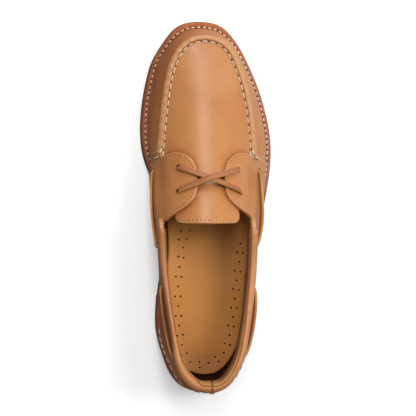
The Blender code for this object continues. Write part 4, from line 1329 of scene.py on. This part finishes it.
def build_hide_group():
    """Leather's colour, gloss and grain, from where the point is on the shoe."""
    group, into, out = new_group(
        "hide",
        (
            ("Colour", "NodeSocketColor", (0.5, 0.25, 0.1, 1)),
            ("Dark", "NodeSocketColor", (0.3, 0.1, 0.03, 1)),
            ("Pale", "NodeSocketColor", (0.7, 0.45, 0.25, 1)),
            ("Mottle", "NodeSocketFloat", 0.5),
            ("Grain per metre", "NodeSocketFloat", 1500.0),
            ("Wear", "NodeSocketFloat", 0.0),
            ("Burnish", "NodeSocketFloat", 0.0),
            ("Gloss", "NodeSocketFloat", 0.42),
        ),
        EFFECT,
    )
    dark, pale, mottle, grain, wear, burnish, gloss = (
        into.outputs[name]
        for name in ("Dark", "Pale", "Mottle", "Grain per metre", "Wear", "Burnish", "Gloss")
    )
    where = group.nodes.new("ShaderNodeTexCoord").outputs["Object"]
    broad = noise(group, where, 22.0, 2.0)
    cloud = noise(group, where, 95.0, 4.0, 0.6)
    fleck = noise(group, where, 900.0, 3.0, 0.6)
    colour = into.outputs["Colour"]
    for amount, tint in (
        (times(group, mapped(group, broad, 0.60, 0.30), mottle), dark),
        (times(group, times(group, mapped(group, cloud, 0.48, 0.72), mottle), 0.30), pale),
        (times(group, mapped(group, fleck, 0.55, 0.75), 0.22), dark),
        (times(group, wear, 0.75, True), pale),
        # This mix darkens by a mask that is partly burnished leather and partly painted shade.
        (times(group, burnish, 1.0, True), dark),
    ):
        colour = mixed(group, amount, colour, tint)
    cells = node(group, "ShaderNodeTexVoronoi", feature="DISTANCE_TO_EDGE")
    group.links.new(where, cells.inputs["Vector"])
    group.links.new(grain, cells.inputs["Scale"])
    pebble = mapped(group, cells.outputs[0], 0.0, 0.22)
    soft = noise(group, where, times(group, grain, 0.35), 4.0, 0.6)
    height = maths(group, "ADD", times(group, pebble, 0.45), soft)
    rough = maths(group, "ADD", gloss, times(group, maths(group, "SUBTRACT", cloud, 0.5), 0.25))
    valleys = times(group, maths(group, "SUBTRACT", 1.0, pebble), 0.08)
    rough = maths(group, "ADD", rough, valleys)
    effect_outputs(group, out, Colour=colour, Roughness=rough, Height=height)
    return group


def build_rubber_group():
    """Colour, gloss and relief of rubber and thread, with dust or darker fibres."""
    group, into, out = new_group(
        "rubber",
        (
            ("Colour", "NodeSocketColor", (0.1, 0.05, 0.03, 1)),
            ("Dust", "NodeSocketColor", (0.3, 0.2, 0.15, 1)),
            ("Dust amount", "NodeSocketFloat", 0.3),
            ("Gloss", "NodeSocketFloat", 0.6),
        ),
        EFFECT,
    )
    where = group.nodes.new("ShaderNodeTexCoord").outputs["Object"]
    cloud = noise(group, where, 120.0, 4.0, 0.6)
    speck = noise(group, where, 2600.0, 2.0, 0.6)
    colour, dust = into.outputs["Colour"], into.outputs["Dust"]
    amount = times(group, mapped(group, cloud, 0.42, 0.70), into.outputs["Dust amount"])
    colour = mixed(group, amount, colour, dust)
    colour = mixed(group, times(group, mapped(group, speck, 0.55, 0.7), 0.25), colour, dust)
    uneven = times(group, maths(group, "SUBTRACT", cloud, 0.5), 0.2)
    rough = maths(group, "ADD", into.outputs["Gloss"], uneven)
    effect_outputs(
        group, out, Colour=colour, Roughness=rough, Height=maths(group, "ADD", speck, cloud)
    )
    return group


def shader_with(name, group, values, masks=(), bump=(0.3, 0.0003), specular=0.5):
    """A material whose colour, roughness and relief come from a group with its own values."""
    material = bpy.data.materials.new(name)
    material.use_nodes = True
    tree = material.node_tree
    shader = tree.nodes["Principled BSDF"]
    effect = tree.nodes.new("ShaderNodeGroup")
    effect.node_tree = group
    for key, value in values.items():
        effect.inputs[key].default_value = value
    for attribute, socket in masks:
        mask = node(tree, "ShaderNodeAttribute", attribute_name=attribute)
        tree.links.new(mask.outputs["Fac"], effect.inputs[socket])
    tree.links.new(effect.outputs["Colour"], shader.inputs["Base Color"])
    tree.links.new(effect.outputs["Roughness"], shader.inputs["Roughness"])
    relief = node(tree, "ShaderNodeBump")
    relief.inputs["Strength"].default_value, relief.inputs["Distance"].default_value = bump
    tree.links.new(effect.outputs["Height"], relief.inputs["Height"])
    tree.links.new(relief.outputs[0], shader.inputs["Normal"])
    shader.inputs["Specular IOR Level"].default_value = specular
    material.diffuse_color = values["Colour"]
    return material


HIDES = (
    # name, colour, dark and pale leather, mottle, gloss, grain per metre, relief, specular
    ("upper_hide", "leather", "leather_dark", "leather_pale", 0.3, 0.3, 1500, (0.22, 1.2e-4), 0.45),
    ("roll_hide", "leather", "leather_dark", "leather_pale", 0.3, 0.34, 1500, (0.25, 1.2e-4), 0.38),
    ("cup_hide", "heel_cup", "leather_dark", "leather", 0.4, 0.36, 1500, (0.22, 1.2e-4), 0.5),
    ("lining_hide", "lining", "lining_dark", "leather_pale", 0.5, 0.55, 1500, (0.3, 1.2e-4), 0.5),
    ("insole_hide", "insole", "insole_dark", "leather_pale", 0.25, 0.5, 1500, (0.25, 1.2e-4), 0.25),
    ("thong_hide", "thong", "thong_dark", "leather", 0.6, 0.5, 2200, (0.3, 1.2e-4), 0.5),
    ("raw_edge", "raw_edge", "leather_dark", "leather_pale", 0.7, 0.75, 3000, (0.5, 1.5e-4), 0.5),
)
RUBBERS = (
    # name, colour, dust and its amount, gloss, relief, specular
    ("welt_red", "welt", "welt_pale", 0.35, 0.45, (0.25, 0.0001), 0.3),
    ("sole_rubber", "rubber", "rubber_dust", 0.45, 0.62, (0.35, 0.00015), 0.5),
    ("waxed_thread", "thread", "thread_dark", 0.5, 0.6, (0.5, 0.0001), 0.5),
    ("tan_thread", "tan_thread", "leather_dark", 0.5, 0.6, (0.5, 0.0001), 0.5),
    ("painted_recess_shade", "hole", "leather_dark", 0.2, 0.8, (0.3, 0.0001), 0.05),
)


def build_materials():
    tones = bpy.context.scene.boat_shoe_colours
    hide, rubber = build_hide_group(), build_rubber_group()
    masks = (("wear", "Wear"), ("burnish", "Burnish"))

    def tone_of(key):
        return (*getattr(tones, key), 1.0)

    for name, colour, dark, pale, mottle, gloss, grain, relief, specular in HIDES:
        values = {
            "Colour": tone_of(colour), "Dark": tone_of(dark), "Pale": tone_of(pale),
            "Mottle": mottle, "Gloss": gloss, "Grain per metre": grain,
        }
        shader_with(name, hide, values, masks, relief, specular)
    for name, colour, dust, amount, gloss, relief, specular in RUBBERS:
        values = {
            "Colour": tone_of(colour), "Dust": tone_of(dust), "Dust amount": amount, "Gloss": gloss,
        }
        shader_with(name, rubber, values, (), relief, specular)
    build_floor_material(rubber)


def build_floor_material(rubber):
    """A plain pale floor that throws less light back, and least on the shoe's inner side."""
    values = {
        "Colour": (0.92, 0.92, 0.92, 1), "Dust": (0.9, 0.9, 0.9, 1),
        "Dust amount": 0.2, "Gloss": 0.8,
    }
    tree = shader_with("studio_floor", rubber, values, (), (0.02, 0.0001), 0.0).node_tree
    shader = tree.nodes["Principled BSDF"]
    shader.inputs["Emission Color"].default_value = (1, 1, 1, 1)
    seen = node(tree, "ShaderNodeLightPath").outputs["Is Camera Ray"]
    where = node(tree, "ShaderNodeTexCoord").outputs["Object"]
    place = node(tree, "ShaderNodeSeparateXYZ", in_0=where)
    bounce = mapped(tree, place.outputs[0], -0.08, 0.04, 0.16, 0.50)
    grey = node(tree, "ShaderNodeCombineColor", in_0=bounce, in_1=bounce, in_2=bounce).outputs[0]
    shade = mixed(tree, seen, grey, shader.inputs["Base Color"].links[0].from_socket)
    tree.links.new(shade, shader.inputs["Base Color"])
    tree.links.new(times(tree, seen, 0.30), shader.inputs["Emission Strength"])


# Stitches


def skin_of(*names):
    """The outer surface of some pieces, to lay stitches on."""
    points, faces = [], []
    for name in names:
        mesh = bpy.data.objects[name].data
        start = len(points)
        points += [vertex.co.copy() for vertex in mesh.vertices]
        faces += [[start + i for i in polygon.vertices] for polygon in mesh.polygons]
    return BVHTree.FromPolygons(points, faces)


def settle(skin, spot, out, reach=0.006):
    """The place on a skin under a point, looking along -out, and the skin's normal there."""
    start = Vector(spot) + Vector(out) * reach
    hit, normal, _, _ = skin.ray_cast(start, -Vector(out), 3 * reach)
    if hit is None:
        return np.array(spot, float), np.array(out, float)
    if normal.dot(Vector(out)) < 0:
        normal = -normal
    return np.array(hit), np.array(normal)


def stitch_parts(a, b, out, radius, proud=0.75, sections=9, sides=8, twist=2.2):
    """One stitch of two-ply thread from a hole to the next, its ends pulled into the holes."""
    a, b, out = (np.asarray(v, float) for v in (a, b, out))
    share = np.linspace(-1, 1, sections)
    along = (b - a) / np.linalg.norm(b - a)
    out = out - along * (out @ along)
    out /= np.linalg.norm(out)
    side = np.cross(along, out)
    lift = radius * proud * (1 - share**4) - 1.5 * radius * np.abs(share) ** 9
    thick = radius * (1 - 0.45 * np.abs(share) ** 7)
    turn = turns(sides)
    ply = 1 + 0.10 * np.cos(2 * (turn[None] - twist * math.pi * share[:, None]))
    ring = thick[:, None] * ply
    centre = (a + b) / 2 + (b - a) / 2 * share[:, None] + out * lift[:, None]
    points = centre[:, None] + out * (0.85 * ring * np.cos(turn))[..., None]
    points = points + side * (ring * np.sin(turn))[..., None]
    faces = tube_faces(sections, sides)
    return points.reshape(-1, 3), faces, [0] * len(faces)


def hole_parts(spot, out, radius):
    """A needle hole: a dimple's flat bead set into the leather, its dark colour painted shade."""
    spot, out = np.asarray(spot), np.asarray(out)
    side = np.cross(out, [0.1, 0.9, 0.3])
    side /= np.linalg.norm(side)
    turn = turns(8)[:, None]
    ring = side * np.cos(turn) + np.cross(out, side) * np.sin(turn)
    profile = ((0.55, 0.10), (1.0, 0.02), (0.8, -0.5))
    rings = [spot + out * radius * lift + radius * wide * ring for wide, lift in profile]
    faces = flipped(tube_faces(3, 8))
    return np.vstack(rings), faces, [1] * len(faces)


def sew(skin, line, pitch, length, radius, holes=0.0, proud=0.75, seed=1, marks=None, sides=8):
    """A row of stitches over a skin, along rows of points and outward directions. marks are the
    distances to count the pitch by, if they aren't the line's own."""
    marks = marks_along(line[:, :3]) if marks is None else marks
    count = max(1, int(round(marks[-1] / pitch)))
    gap = marks[-1] / count
    rng = np.random.default_rng(seed)
    parts = []

    def place(at):
        values = [np.interp(at, marks, line[:, k]) for k in range(6)]
        return settle(skin, values[:3], values[3:])

    for i in range(count):
        middle = (i + 0.5) * gap + rng.uniform(-0.04, 0.04) * gap
        half = length / 2 * rng.uniform(0.94, 1.05)
        a, out_a = place(middle - half)
        b, out_b = place(middle + half)
        thick = radius * rng.uniform(0.93, 1.07)
        parts.append(stitch_parts(a, b, out_a + out_b, thick, proud, 9 if sides > 6 else 7, sides))
        if holes:
            c, out_c = place(middle - gap / 2)
            parts.append(hole_parts(c, out_c, holes))
    return parts


def crown_line(plan):
    """Points over the instep with the directions away from it."""
    return np.column_stack([on_crown(plan), [crown_normal(*spot) for spot in plan]])


def wall_line(arcs, share=None, down=None):
    """Points along the wall with the directions away from it, at a share of its height or a
    distance under its top."""
    tops = at_arcs(TOP_EDGE, arcs)
    steps = np.array([-1.0, 0.0, 1.0])
    if down is None:
        shares = np.reshape(share, (-1, 1)) + 0 * arcs[:, None] + 0.01 * steps
        grid = wall_grid(tops, shares=shares)
    else:
        grid = wall_grid(tops, downs=down + 0 * arcs[:, None] - 0.0006 * steps)
    normals = unit(np.cross(np.gradient(grid[:, 1], axis=0), grid[:, 2] - grid[:, 0]))
    station = grid[:, 1, 1] + HEEL_REST
    away = np.column_stack([grid[:, 1, 0] - 0.003, station - np.clip(station, 0.045, 0.235)])
    normals *= np.sign((normals[:, :2] * away).sum(1))[:, None]
    return np.column_stack([grid[:, 1], normals])


CORNER_STITCHES = (
    # two plan points and the thread's radius
    ((-0.0334, 0.1950), (-0.0356, 0.1904), 0.00065),
    ((-0.0354, 0.1880), (-0.0398, 0.1868), 0.00065),
    ((-0.0402, 0.1898), (-0.0376, 0.1922), 0.00045),
    ((0.0366, 0.1935), (0.0389, 0.1896), 0.00065),
    ((0.0395, 0.1880), (0.0445, 0.1863), 0.00065),
)


def bridge(skin, starts, reach, *stitch):
    """A stitch between two places that are met from above, and its ends on the skin."""
    ends = [settle(skin, spot, (0.0, 0.0, 1.0), reach) for spot in starts]
    return ends, stitch_parts(ends[0][0], ends[1][0], ends[0][1] + ends[1][1], *stitch)


def seam_stitches(sizes):
    """The raised seam's two hand-sewn rows and the stitches at the quarters' corners."""
    arcs = seam_arcs(620)
    marks = arcs - arcs[0]
    half, pitch, length = sizes.ridge_half_width, sizes.seam_pitch, sizes.seam_stitch
    radius = sizes.seam_thread / 2
    inner = crown_line(at_arcs(TOP_EDGE, arcs) - top_outward(arcs) * (half + 0.00045))
    outer = wall_line(arcs, down=half + 0.0007)
    skin = skin_of("plug", "raised_seam")
    parts = sew(skin, inner, pitch, length, radius, 0.00062, 0.8, 2, marks)
    skin = skin_of("vamp", "raised_seam")
    parts += sew(skin, outer, pitch, 0.7 * length, 0.7 * radius, 0.0005, 0.45, 3, marks)
    skin = skin_of("plug", "raised_seam", "vamp", "quarter_medial", "quarter_lateral")
    for *spots, thick in CORNER_STITCHES:
        starts = [to_space(np.array(spot), crown(*spot) + 0.006) for spot in spots]
        ends, stitch = bridge(skin, starts, 0.012, thick, 0.9)
        parts += [hole_parts(*end, 0.0007) for end in ends] + [stitch]
    skin = skin_of("roll_ends")
    for side in (-1, 1):
        arcs = [top_arc(side, COLLAR_FRONT + ahead) for ahead in (-0.0022, -0.0004, 0.0014)]
        for spot, out in zip(*roll_line(np.array(arcs))):
            starts = [spot + out * across + [0, 0, 0.004] for across in (-0.0008, 0.0016)]
            parts.append(bridge(skin, starts, 0.006, 0.00035, 0.6, 7, 6)[1])
    return parts


def welt_stitches(sizes):
    """The row of stitches that shows on the sole's rim."""
    rim = margin(SOLE_EDGE[:, 1])
    ring = inset(SOLE_EDGE, rim - np.minimum(WELT_SEAM_INSET, 0.5 * (rim - SOLE_FLARE)))
    ring = np.vstack([ring, ring[:1]])
    line = to_space(ring, midsole_floor(ring[:, 1]) + MIDSOLE_THICKNESS)
    line = np.column_stack([line, np.tile([0.0, 0.0, 1.0], (len(line), 1))])
    pitch, length, radius = sizes.welt_pitch, sizes.welt_stitch, sizes.welt_thread / 2
    return sew(skin_of("midsole_rim"), line, pitch, length, radius, 0.0006, 0.9, 4)


def heel_stitches(sizes):
    """The hand-sewn row along the heel cup's edge."""
    arcs = heel_arcs(0.0535, 200)
    line = wall_line(arcs, share=cup_share(at_arcs(TOP_EDGE, arcs)[:, 1]) - 0.038)
    pitch, length, radius = sizes.seam_pitch, sizes.seam_stitch, sizes.seam_thread / 2
    return sew(skin_of("heel_cup"), line, pitch, length, radius, 0.0006, 0.4, 5)


def facing_row(side, inside, first, last):
    """Plan points along a facing's edge, a distance inside it."""
    edge = facing_edge(side, np.linspace(0, 1, 160))
    step = unit(np.gradient(edge, axis=0))
    line = edge + side * np.column_stack([-step[:, 1], step[:, 0]]) * inside
    return line[int(first * 159) : int(last * 159) + 1]


def fine_stitches():
    """The machine-sewn rows: facings, quarters' fronts, tongue, top line and back strip."""
    parts = []
    for side, name in ((-1, "medial"), (1, "lateral")):
        skin = skin_of("quarter_" + name)
        small = 0.00028 if side < 0 else 0.00022
        size = (FINE_PITCH, FINE_STITCH, small, 1.5 * small, 0.5)
        front = top_arc(side, PLUG_END)
        back = np.sign(top_arc(side, 0.1) - front)
        line = crown_line(facing_row(side, 0.0017, 0.05, 0.97))
        parts += sew(skin, line, *size, 6, sides=6)
        for inside in (0.0017, 0.0042):
            at = np.array([front + back * inside])
            downs = np.linspace(0.0022, 0.0300, 30)
            spots, beside = (
                wall_grid(at_arcs(TOP_EDGE, at + ahead), downs=downs)[0]
                for ahead in (0, back * 0.001)
            )
            outs = np.cross(beside - spots, np.gradient(spots, axis=0))
            outs = unit(outs * np.sign(outs[:, :1] * side))
            parts += sew(skin, np.column_stack([spots, outs]), *size, 7, sides=6)
        arcs = np.linspace(top_arc(side, 0.131), top_arc(side, 0.016), 160)[::-side]
        line = wall_line(arcs, down=0.0022)
        parts += sew(skin, line, 0.003, 0.0020, small, 1.5 * small, 0.1, 8, sides=6)
    across = np.linspace(0.0030 - TONGUE_HALF_WIDTH, TONGUE_HALF_WIDTH - 0.0030, 60)
    line = crown_line(np.column_stack([across, np.full(60, TONGUE_END + 0.0023)]))
    thread = (0.00026, 0.0004, 0.5)
    parts += sew(skin_of("tongue_leather"), line, 0.0030, 0.0020, *thread, 9, sides=6)
    skin = skin_of("back_strip")
    shares = np.linspace(0.43, 0.965, 40)
    for across in (-BACK_STRIP_HALF + 0.0010, BACK_STRIP_HALF - 0.0010):
        spots = wall_grid(at_arcs(TOP_EDGE, np.array([across])), shares=shares)[0]
        line = np.column_stack([spots, np.tile([0.0, -1.0, 0.0], (len(spots), 1))])
        parts += sew(skin, line, 0.0024, 0.0016, *thread, 10, sides=6)
    return parts


# Operators and settings


def measure(name, description, default, low, high):
    return FloatProperty(
        name=name, description=description, default=default, min=low, max=high, unit="LENGTH"
    )


class BoatShoeSizes(bpy.types.PropertyGroup):
    seam_pitch: measure("Seam pitch", "Stitch to stitch on the raised seam", 0.0068, 0.003, 0.012)
    seam_stitch: measure("Seam stitch", "A stitch's length on the raised seam", 0.0054, 0.002, 0.01)
    seam_thread: measure("Seam thread", "Diameter of the seam's thread", 0.0011, 0.0005, 0.003)
    welt_pitch: measure("Welt pitch", "Stitch to stitch on the sole's rim", 0.0045, 0.003, 0.01)
    welt_stitch: measure("Welt stitch", "A stitch's length on the sole's rim", 0.0034, 0.002, 0.01)
    welt_thread: measure("Welt thread", "Diameter of the rim's thread", 0.0013, 0.0005, 0.003)
    ridge_height: measure("Ridge height", "How far the seam stands up", 0.0024, 0.0005, 0.004)
    ridge_half_width: measure("Ridge half width", "Half the seam's width", 0.0026, 0.001, 0.004)
    thong_width: measure("Thong width", "Width of the rawhide thong", 0.0047, 0.002, 0.006)
    thong_thickness: measure("Thong thickness", "Thickness of the rawhide", 0.0020, 0.001, 0.003)


def tone(name, description, default):
    return FloatVectorProperty(
        name=name, description=description, default=default, size=3, subtype="COLOR", min=0, max=1
    )


class BoatShoeColours(bpy.types.PropertyGroup):
    leather: tone("Leather", "Oiled tan leather of the upper", (0.50, 0.208, 0.068))
    # The dark leather tone darkens random patches and also paints shade where the darkening mask
    # asks.
    leather_dark: tone("Dark leather", "Leather in its darker patches", (0.29, 0.062, 0.011))
    leather_pale: tone("Pale leather", "Leather where it is pulled or worn", (0.58, 0.31, 0.13))
    heel_cup: tone("Heel cup", "Reddish leather of the heel's cup", (0.48, 0.145, 0.035))
    lining: tone("Lining", "Yellow tan lining", (0.52, 0.235, 0.050))
    # The dark lining tone also paints the shade inside the shoe and on the roll's inner face.
    lining_dark: tone("Dark lining", "Lining in its darker patches", (0.13, 0.045, 0.014))
    insole: tone("Insole", "Yellow tan insole", (0.64, 0.268, 0.058))
    # The dark insole tone paints shade over the cover's outer half and towards its heel.
    insole_dark: tone("Dark insole", "Insole where the heel has darkened it", (0.22, 0.060, 0.014))
    thong: tone("Thong", "Rawhide thong", (0.36, 0.125, 0.045))
    thong_dark: tone("Dark thong", "Rawhide in its darker patches", (0.20, 0.055, 0.018))
    raw_edge: tone("Raw edge", "Cut edge of the thong", (0.55, 0.27, 0.06))
    welt: tone("Welt", "Brick red rim", (0.38, 0.092, 0.024))
    welt_pale: tone("Pale welt", "Scuffs on the rim", (0.50, 0.18, 0.07))
    rubber: tone("Rubber", "Dark brown sole", (0.13, 0.065, 0.042))
    rubber_dust: tone("Rubber dust", "Dust on the sole", (0.24, 0.15, 0.11))
    thread: tone("Thread", "Cream waxed thread", (0.66, 0.56, 0.38))
    thread_dark: tone("Dark thread", "Waxed thread in its hollows", (0.40, 0.29, 0.15))
    tan_thread: tone("Tan thread", "Thread of the fine seams", (0.60, 0.33, 0.16))
    # The needle-hole tone is painted shade: it darkens holes, eyelets, slits and the board under
    # the insole's edge.
    hole: tone("Needle hole", "Inside of a needle hole", (0.035, 0.014, 0.007))


class BOATSHOE_OT_sole(bpy.types.Operator):
    """Build the outsole, the heel and the red midsole"""

    bl_idname = "boat_shoe.sole"
    bl_label = "Sole"

    def execute(self, context):
        for name, solid, parts in (
            ("outsole_tread", "outsole", outsole_parts()), ("heel_block", "heel", heel_parts()),
        ):
            points, faces, _ = parts
            piece = add_mesh(name, points, faces, ["sole_rubber"])
            fill_opening(piece)
            claim(piece, "outsole_rubber", solid)
        piece = add_mesh("midsole_rim", *midsole_shape(), ["welt_red"])
        claim(piece, "midsole_red", "midsole")
        return {"FINISHED"}


class BOATSHOE_OT_upper(bpy.types.Operator):
    """Build the vamp, the plug, the raised seam and the two quarters"""

    bl_idname = "boat_shoe.upper"
    bl_label = "Upper"

    def execute(self, context):
        sizes = context.scene.boat_shoe_sizes
        leather = ["upper_hide", "lining_hide", "raw_edge"]
        for name, (*shape, burnish) in (("vamp", vamp_shape(sizes)), ("plug", plug_shape())):
            piece = add_sheet(name, shape, leather, burnish=(burnish, burnish))
            claim(piece, "upper_leather", "upper")
        *shape, masks = ridge_shape(sizes)
        masks = {key: (mask, mask) for key, mask in masks.items()}
        piece = add_sheet("raised_seam", shape, leather[:1], (0, 0, 0), **masks)
        claim(piece, "upper_leather", "upper")
        for side, name in ((-1, "medial"), (1, "lateral")):
            *shape, to_edge = wing_shape(side)
            points = shape[0]
            wear = 0.35 * (1 - smooth_step(to_edge, 0.0, 0.0012))
            plan = np.column_stack([points[:, 0], points[:, 1] + HEEL_REST])
            # Painted shade on the lining: darker the deeper it lies under the top line.
            inside = 0.95 * smooth_step(top_height(plan) - points[:, 2], 0.002, 0.016)
            piece = add_sheet(
                "quarter_" + name, shape, leather, (0, 1, 0),
                wear=(wear, 0 * wear), burnish=(low_darkening_and_inner_shade(points), inside),
            )
            cut_with(piece, quarter_cuts(side, sizes), "painted_recess_shade")
            claim(piece, "upper_leather", "upper", "facing_" + name)
        *shape, to_edge = heel_cup_shape()
        wear = 0.5 * (1 - smooth_step(to_edge, 0.0, 0.001))
        piece = add_sheet("heel_cup", shape, ["cup_hide"] * 3, wear=(wear, 0 * wear))
        claim(piece, "upper_leather", "upper")
        shape = back_strip_shape()
        burnish = np.full(len(shape[0]), 0.25)
        piece = add_sheet("back_strip", shape, leather[:1] * 3, burnish=(burnish, burnish))
        claim(piece, "upper_leather", "upper")
        return {"FINISHED"}


class BOATSHOE_OT_tongue(bpy.types.Operator):
    """Build the tongue"""

    bl_idname = "boat_shoe.tongue"
    bl_label = "Tongue"

    def execute(self, context):
        # Painted shade beside the facings' edges darkens the tongue.
        *shape, edge, tongue_painted_shade = tongue_shape()
        wear = 0.4 * (1 - smooth_step(edge, 0.0, 0.001))
        piece = add_sheet(
            "tongue_leather", shape, ["upper_hide", "lining_hide", "raw_edge"],
            wear=(wear, 0 * wear), burnish=(tongue_painted_shade, tongue_painted_shade),
        )
        claim(piece, "upper_leather", "tongue")
        return {"FINISHED"}


class BOATSHOE_OT_collar(bpy.types.Operator):
    """Build the padded roll round the opening"""

    bl_idname = "boat_shoe.collar"
    bl_label = "Collar"

    def execute(self, context):
        points, faces, finish, masks = roll_parts()
        piece = add_mesh("collar_roll", points, faces, ["roll_hide", "lining_hide"], finish, masks)
        claim(piece, "collar_leather", "collar")
        for name, parts in (("roll_ends", roll_end_parts()), ("roll_seam", roll_seam_parts())):
            points, faces, masks = parts
            claim(add_mesh(name, points, faces, ["roll_hide"], None, masks), "collar_leather")
        points, faces, finish = heel_tab_parts()
        claim(add_mesh("heel_tab", points, faces, ["thong_hide"] * 2, finish), "collar_leather")
        return {"FINISHED"}


class BOATSHOE_OT_insole(bpy.types.Operator):
    """Build the insole with its punched border"""

    bl_idname = "boat_shoe.insole"
    bl_label = "Insole"

    def execute(self, context):
        points, faces, finish = insole_parts()
        # Painted shade: darker over the cover's outer half, and more so towards the heel.
        shade = 0.12 * smooth_step(points[:, 0], -0.004, 0.026)
        shade = np.maximum(shade, 0.50 * smooth_step(points[:, 1] + HEEL_REST, 0.055, 0.015))
        finishes = ["insole_hide", "painted_recess_shade"]
        piece = add_mesh("insole_cover", points, faces, finishes, finish, {"burnish": shade})
        fill_opening(piece)
        top = skin_of("insole_cover")
        punches = []
        for spot in punched_places():
            place, _ = settle(top, to_space(spot, seat(spot[1]) + 0.02), (0, 0, 1), 0.02)
            punches.append(round_punch(place, (0, 0, 1), 0.00084, 0.002, 0.0024))
        cut_with(piece, punches, "painted_recess_shade")
        claim(piece, "insole_leather", "insole")
        return {"FINISHED"}


class BOATSHOE_OT_thongs(bpy.types.Operator):
    """Build the crossed thong and the four side thongs"""

    bl_idname = "boat_shoe.thongs"
    bl_label = "Thongs"

    def execute(self, context):
        sizes = context.scene.boat_shoe_sizes
        strip = sizes.thong_width, sizes.thong_thickness
        finishes = ["thong_hide", "raw_edge"]
        points, faces, finish = joined([
            cross_strand("front_medial", "rear_lateral", 0.0, *strip),
            cross_strand("rear_medial", "front_lateral", 0.0019, *strip),
        ])
        piece = add_mesh("crossed_thong", points, faces, finishes, finish)
        claim(piece, "thong_leather", "thong_cross")
        for side, name in ((-1, "medial"), (1, "lateral")):
            for key, shape in SIDE_THONGS.items():
                points, faces, finish = side_thong(side, shape, *strip, *SIDE_LEANS[side, key])
                piece = add_mesh(f"thong_{name}_{key}", points, faces, finishes, finish)
                claim(piece, "thong_leather", f"side_thong_{name}_{key}")
        return {"FINISHED"}


class BOATSHOE_OT_stitches(bpy.types.Operator):
    """Sew the raised seam, the heel, the rim and the fine rows"""

    bl_idname = "boat_shoe.stitches"
    bl_label = "Stitches"

    def execute(self, context):
        sizes = context.scene.boat_shoe_sizes
        for name, thread, slot, parts in (
            ("seam_stitches", "waxed_thread", "upper_leather", seam_stitches(sizes)),
            ("welt_stitches", "waxed_thread", "midsole_red", welt_stitches(sizes)),
            ("heel_stitches", "waxed_thread", "upper_leather", heel_stitches(sizes)),
            ("fine_stitches", "tan_thread", "upper_leather", fine_stitches()),
        ):
            points, faces, finish = joined(parts)
            finishes = [thread, "painted_recess_shade"]
            piece = add_mesh(name, points, faces, finishes, finish, sharp=math.radians(60))
            claim(piece, slot)
        return {"FINISHED"}


class BOATSHOE_OT_stage(bpy.types.Operator):
    """Build the floor, the lights and the camera"""

    bl_idname = "boat_shoe.stage"
    bl_label = "Stage"

    def execute(self, context):
        scene = context.scene
        scene.view_settings.view_transform = "Standard"
        size = 4.0
        corners = [(x * size, y * size, -0.0002) for x, y in ((-1, -1), (1, -1), (1, 1), (-1, 1))]
        floor = add_mesh("studio_floor", corners, [(0, 1, 2, 3)], ["studio_floor"])
        world = bpy.data.worlds.new("studio")
        scene.world = world
        world.use_nodes = True
        tree = world.node_tree
        tree.nodes["Background"].inputs[0].default_value = (1, 1, 1, 1)
        seen = node(tree, "ShaderNodeLightPath").outputs["Is Camera Ray"]
        tree.links.new(maths(tree, "MULTIPLY_ADD", seen, 0.75), tree.nodes["Background"].inputs[1])
        tree.nodes["Math"].inputs[2].default_value = 0.08
        target = Vector((0.0, 0.11, 0.03))
        for name, place, wide, tall, power in (
            ("key", (0.62, 0.30, 0.95), 0.5, 0.5, 5.6),
            ("strip", (-0.075, 1.0, 1.25), 0.30, 1.7, 13.5),
            ("right", (1.1, 0.15, 0.35), 0.5, 1.0, 4.2),
            ("left", (-1.1, -0.05, 0.55), 0.5, 1.0, 2.7),
            ("front", (0.25, 1.25, 0.30), 0.7, 0.4, 4.0),
            ("overhead", (0.05, 0.05, 1.5), 1.0, 1.0, 2.5),
        ):
            lamp = bpy.data.lights.new(name, "AREA")
            lamp.shape = "RECTANGLE"
            lamp.size, lamp.size_y = wide, tall
            lamp.energy = power
            light = bpy.data.objects.new(name, lamp)
            scene.collection.objects.link(light)
            light.location = place
            light.rotation_euler = (target - Vector(place)).to_track_quat("-Z", "Y").to_euler()
        lens = bpy.data.cameras.new("camera")
        lens.lens = 94.98
        lens.sensor_width = 36.0
        lens.clip_start = 0.01
        camera = bpy.data.objects.new("camera", lens)
        scene.collection.objects.link(camera)
        camera.location = (-0.0603, 0.1121, 0.9)
        aim = Vector((0.0035, 0.1121, 0.03)) - camera.location
        back = -aim.normalized()
        right = Vector((0, 1, 0)).cross(back).normalized()
        up = back.cross(right)
        turned = Matrix((right, up, back)).transposed().to_4x4()
        camera.matrix_world = Matrix.Translation(camera.location) @ turned
        scene.camera = camera
        return {"FINISHED"}


class BOATSHOE_PT_panel(bpy.types.Panel):
    bl_label = "Boat shoe"
    bl_space_type = "VIEW_3D"
    bl_region_type = "UI"
    bl_category = "Boat shoe"

    def draw(self, context):
        for settings in (context.scene.boat_shoe_sizes, context.scene.boat_shoe_colours):
            for key in settings.bl_rna.properties.keys():
                if key not in ("rna_type", "name"):
                    self.layout.prop(settings, key)
        for operator in OPERATORS:
            self.layout.operator(operator.bl_idname)


OPERATORS = (
    BOATSHOE_OT_sole, BOATSHOE_OT_upper, BOATSHOE_OT_tongue, BOATSHOE_OT_collar,
    BOATSHOE_OT_insole, BOATSHOE_OT_thongs, BOATSHOE_OT_stitches, BOATSHOE_OT_stage,
)
CLASSES = (BoatShoeSizes, BoatShoeColours, *OPERATORS, BOATSHOE_PT_panel)


def register():
    for item in CLASSES:
        bpy.utils.register_class(item)
    bpy.types.Scene.boat_shoe_sizes = PointerProperty(type=BoatShoeSizes)
    bpy.types.Scene.boat_shoe_colours = PointerProperty(type=BoatShoeColours)


def unregister():
    del bpy.types.Scene.boat_shoe_colours
    del bpy.types.Scene.boat_shoe_sizes
    for item in reversed(CLASSES):
        bpy.utils.unregister_class(item)


def main():
    register()
    build_materials()
    for operator in OPERATORS:
        group, name = operator.bl_idname.split(".")
        getattr(getattr(bpy.ops, group), name)()


if __name__ == "__main__":
    main()
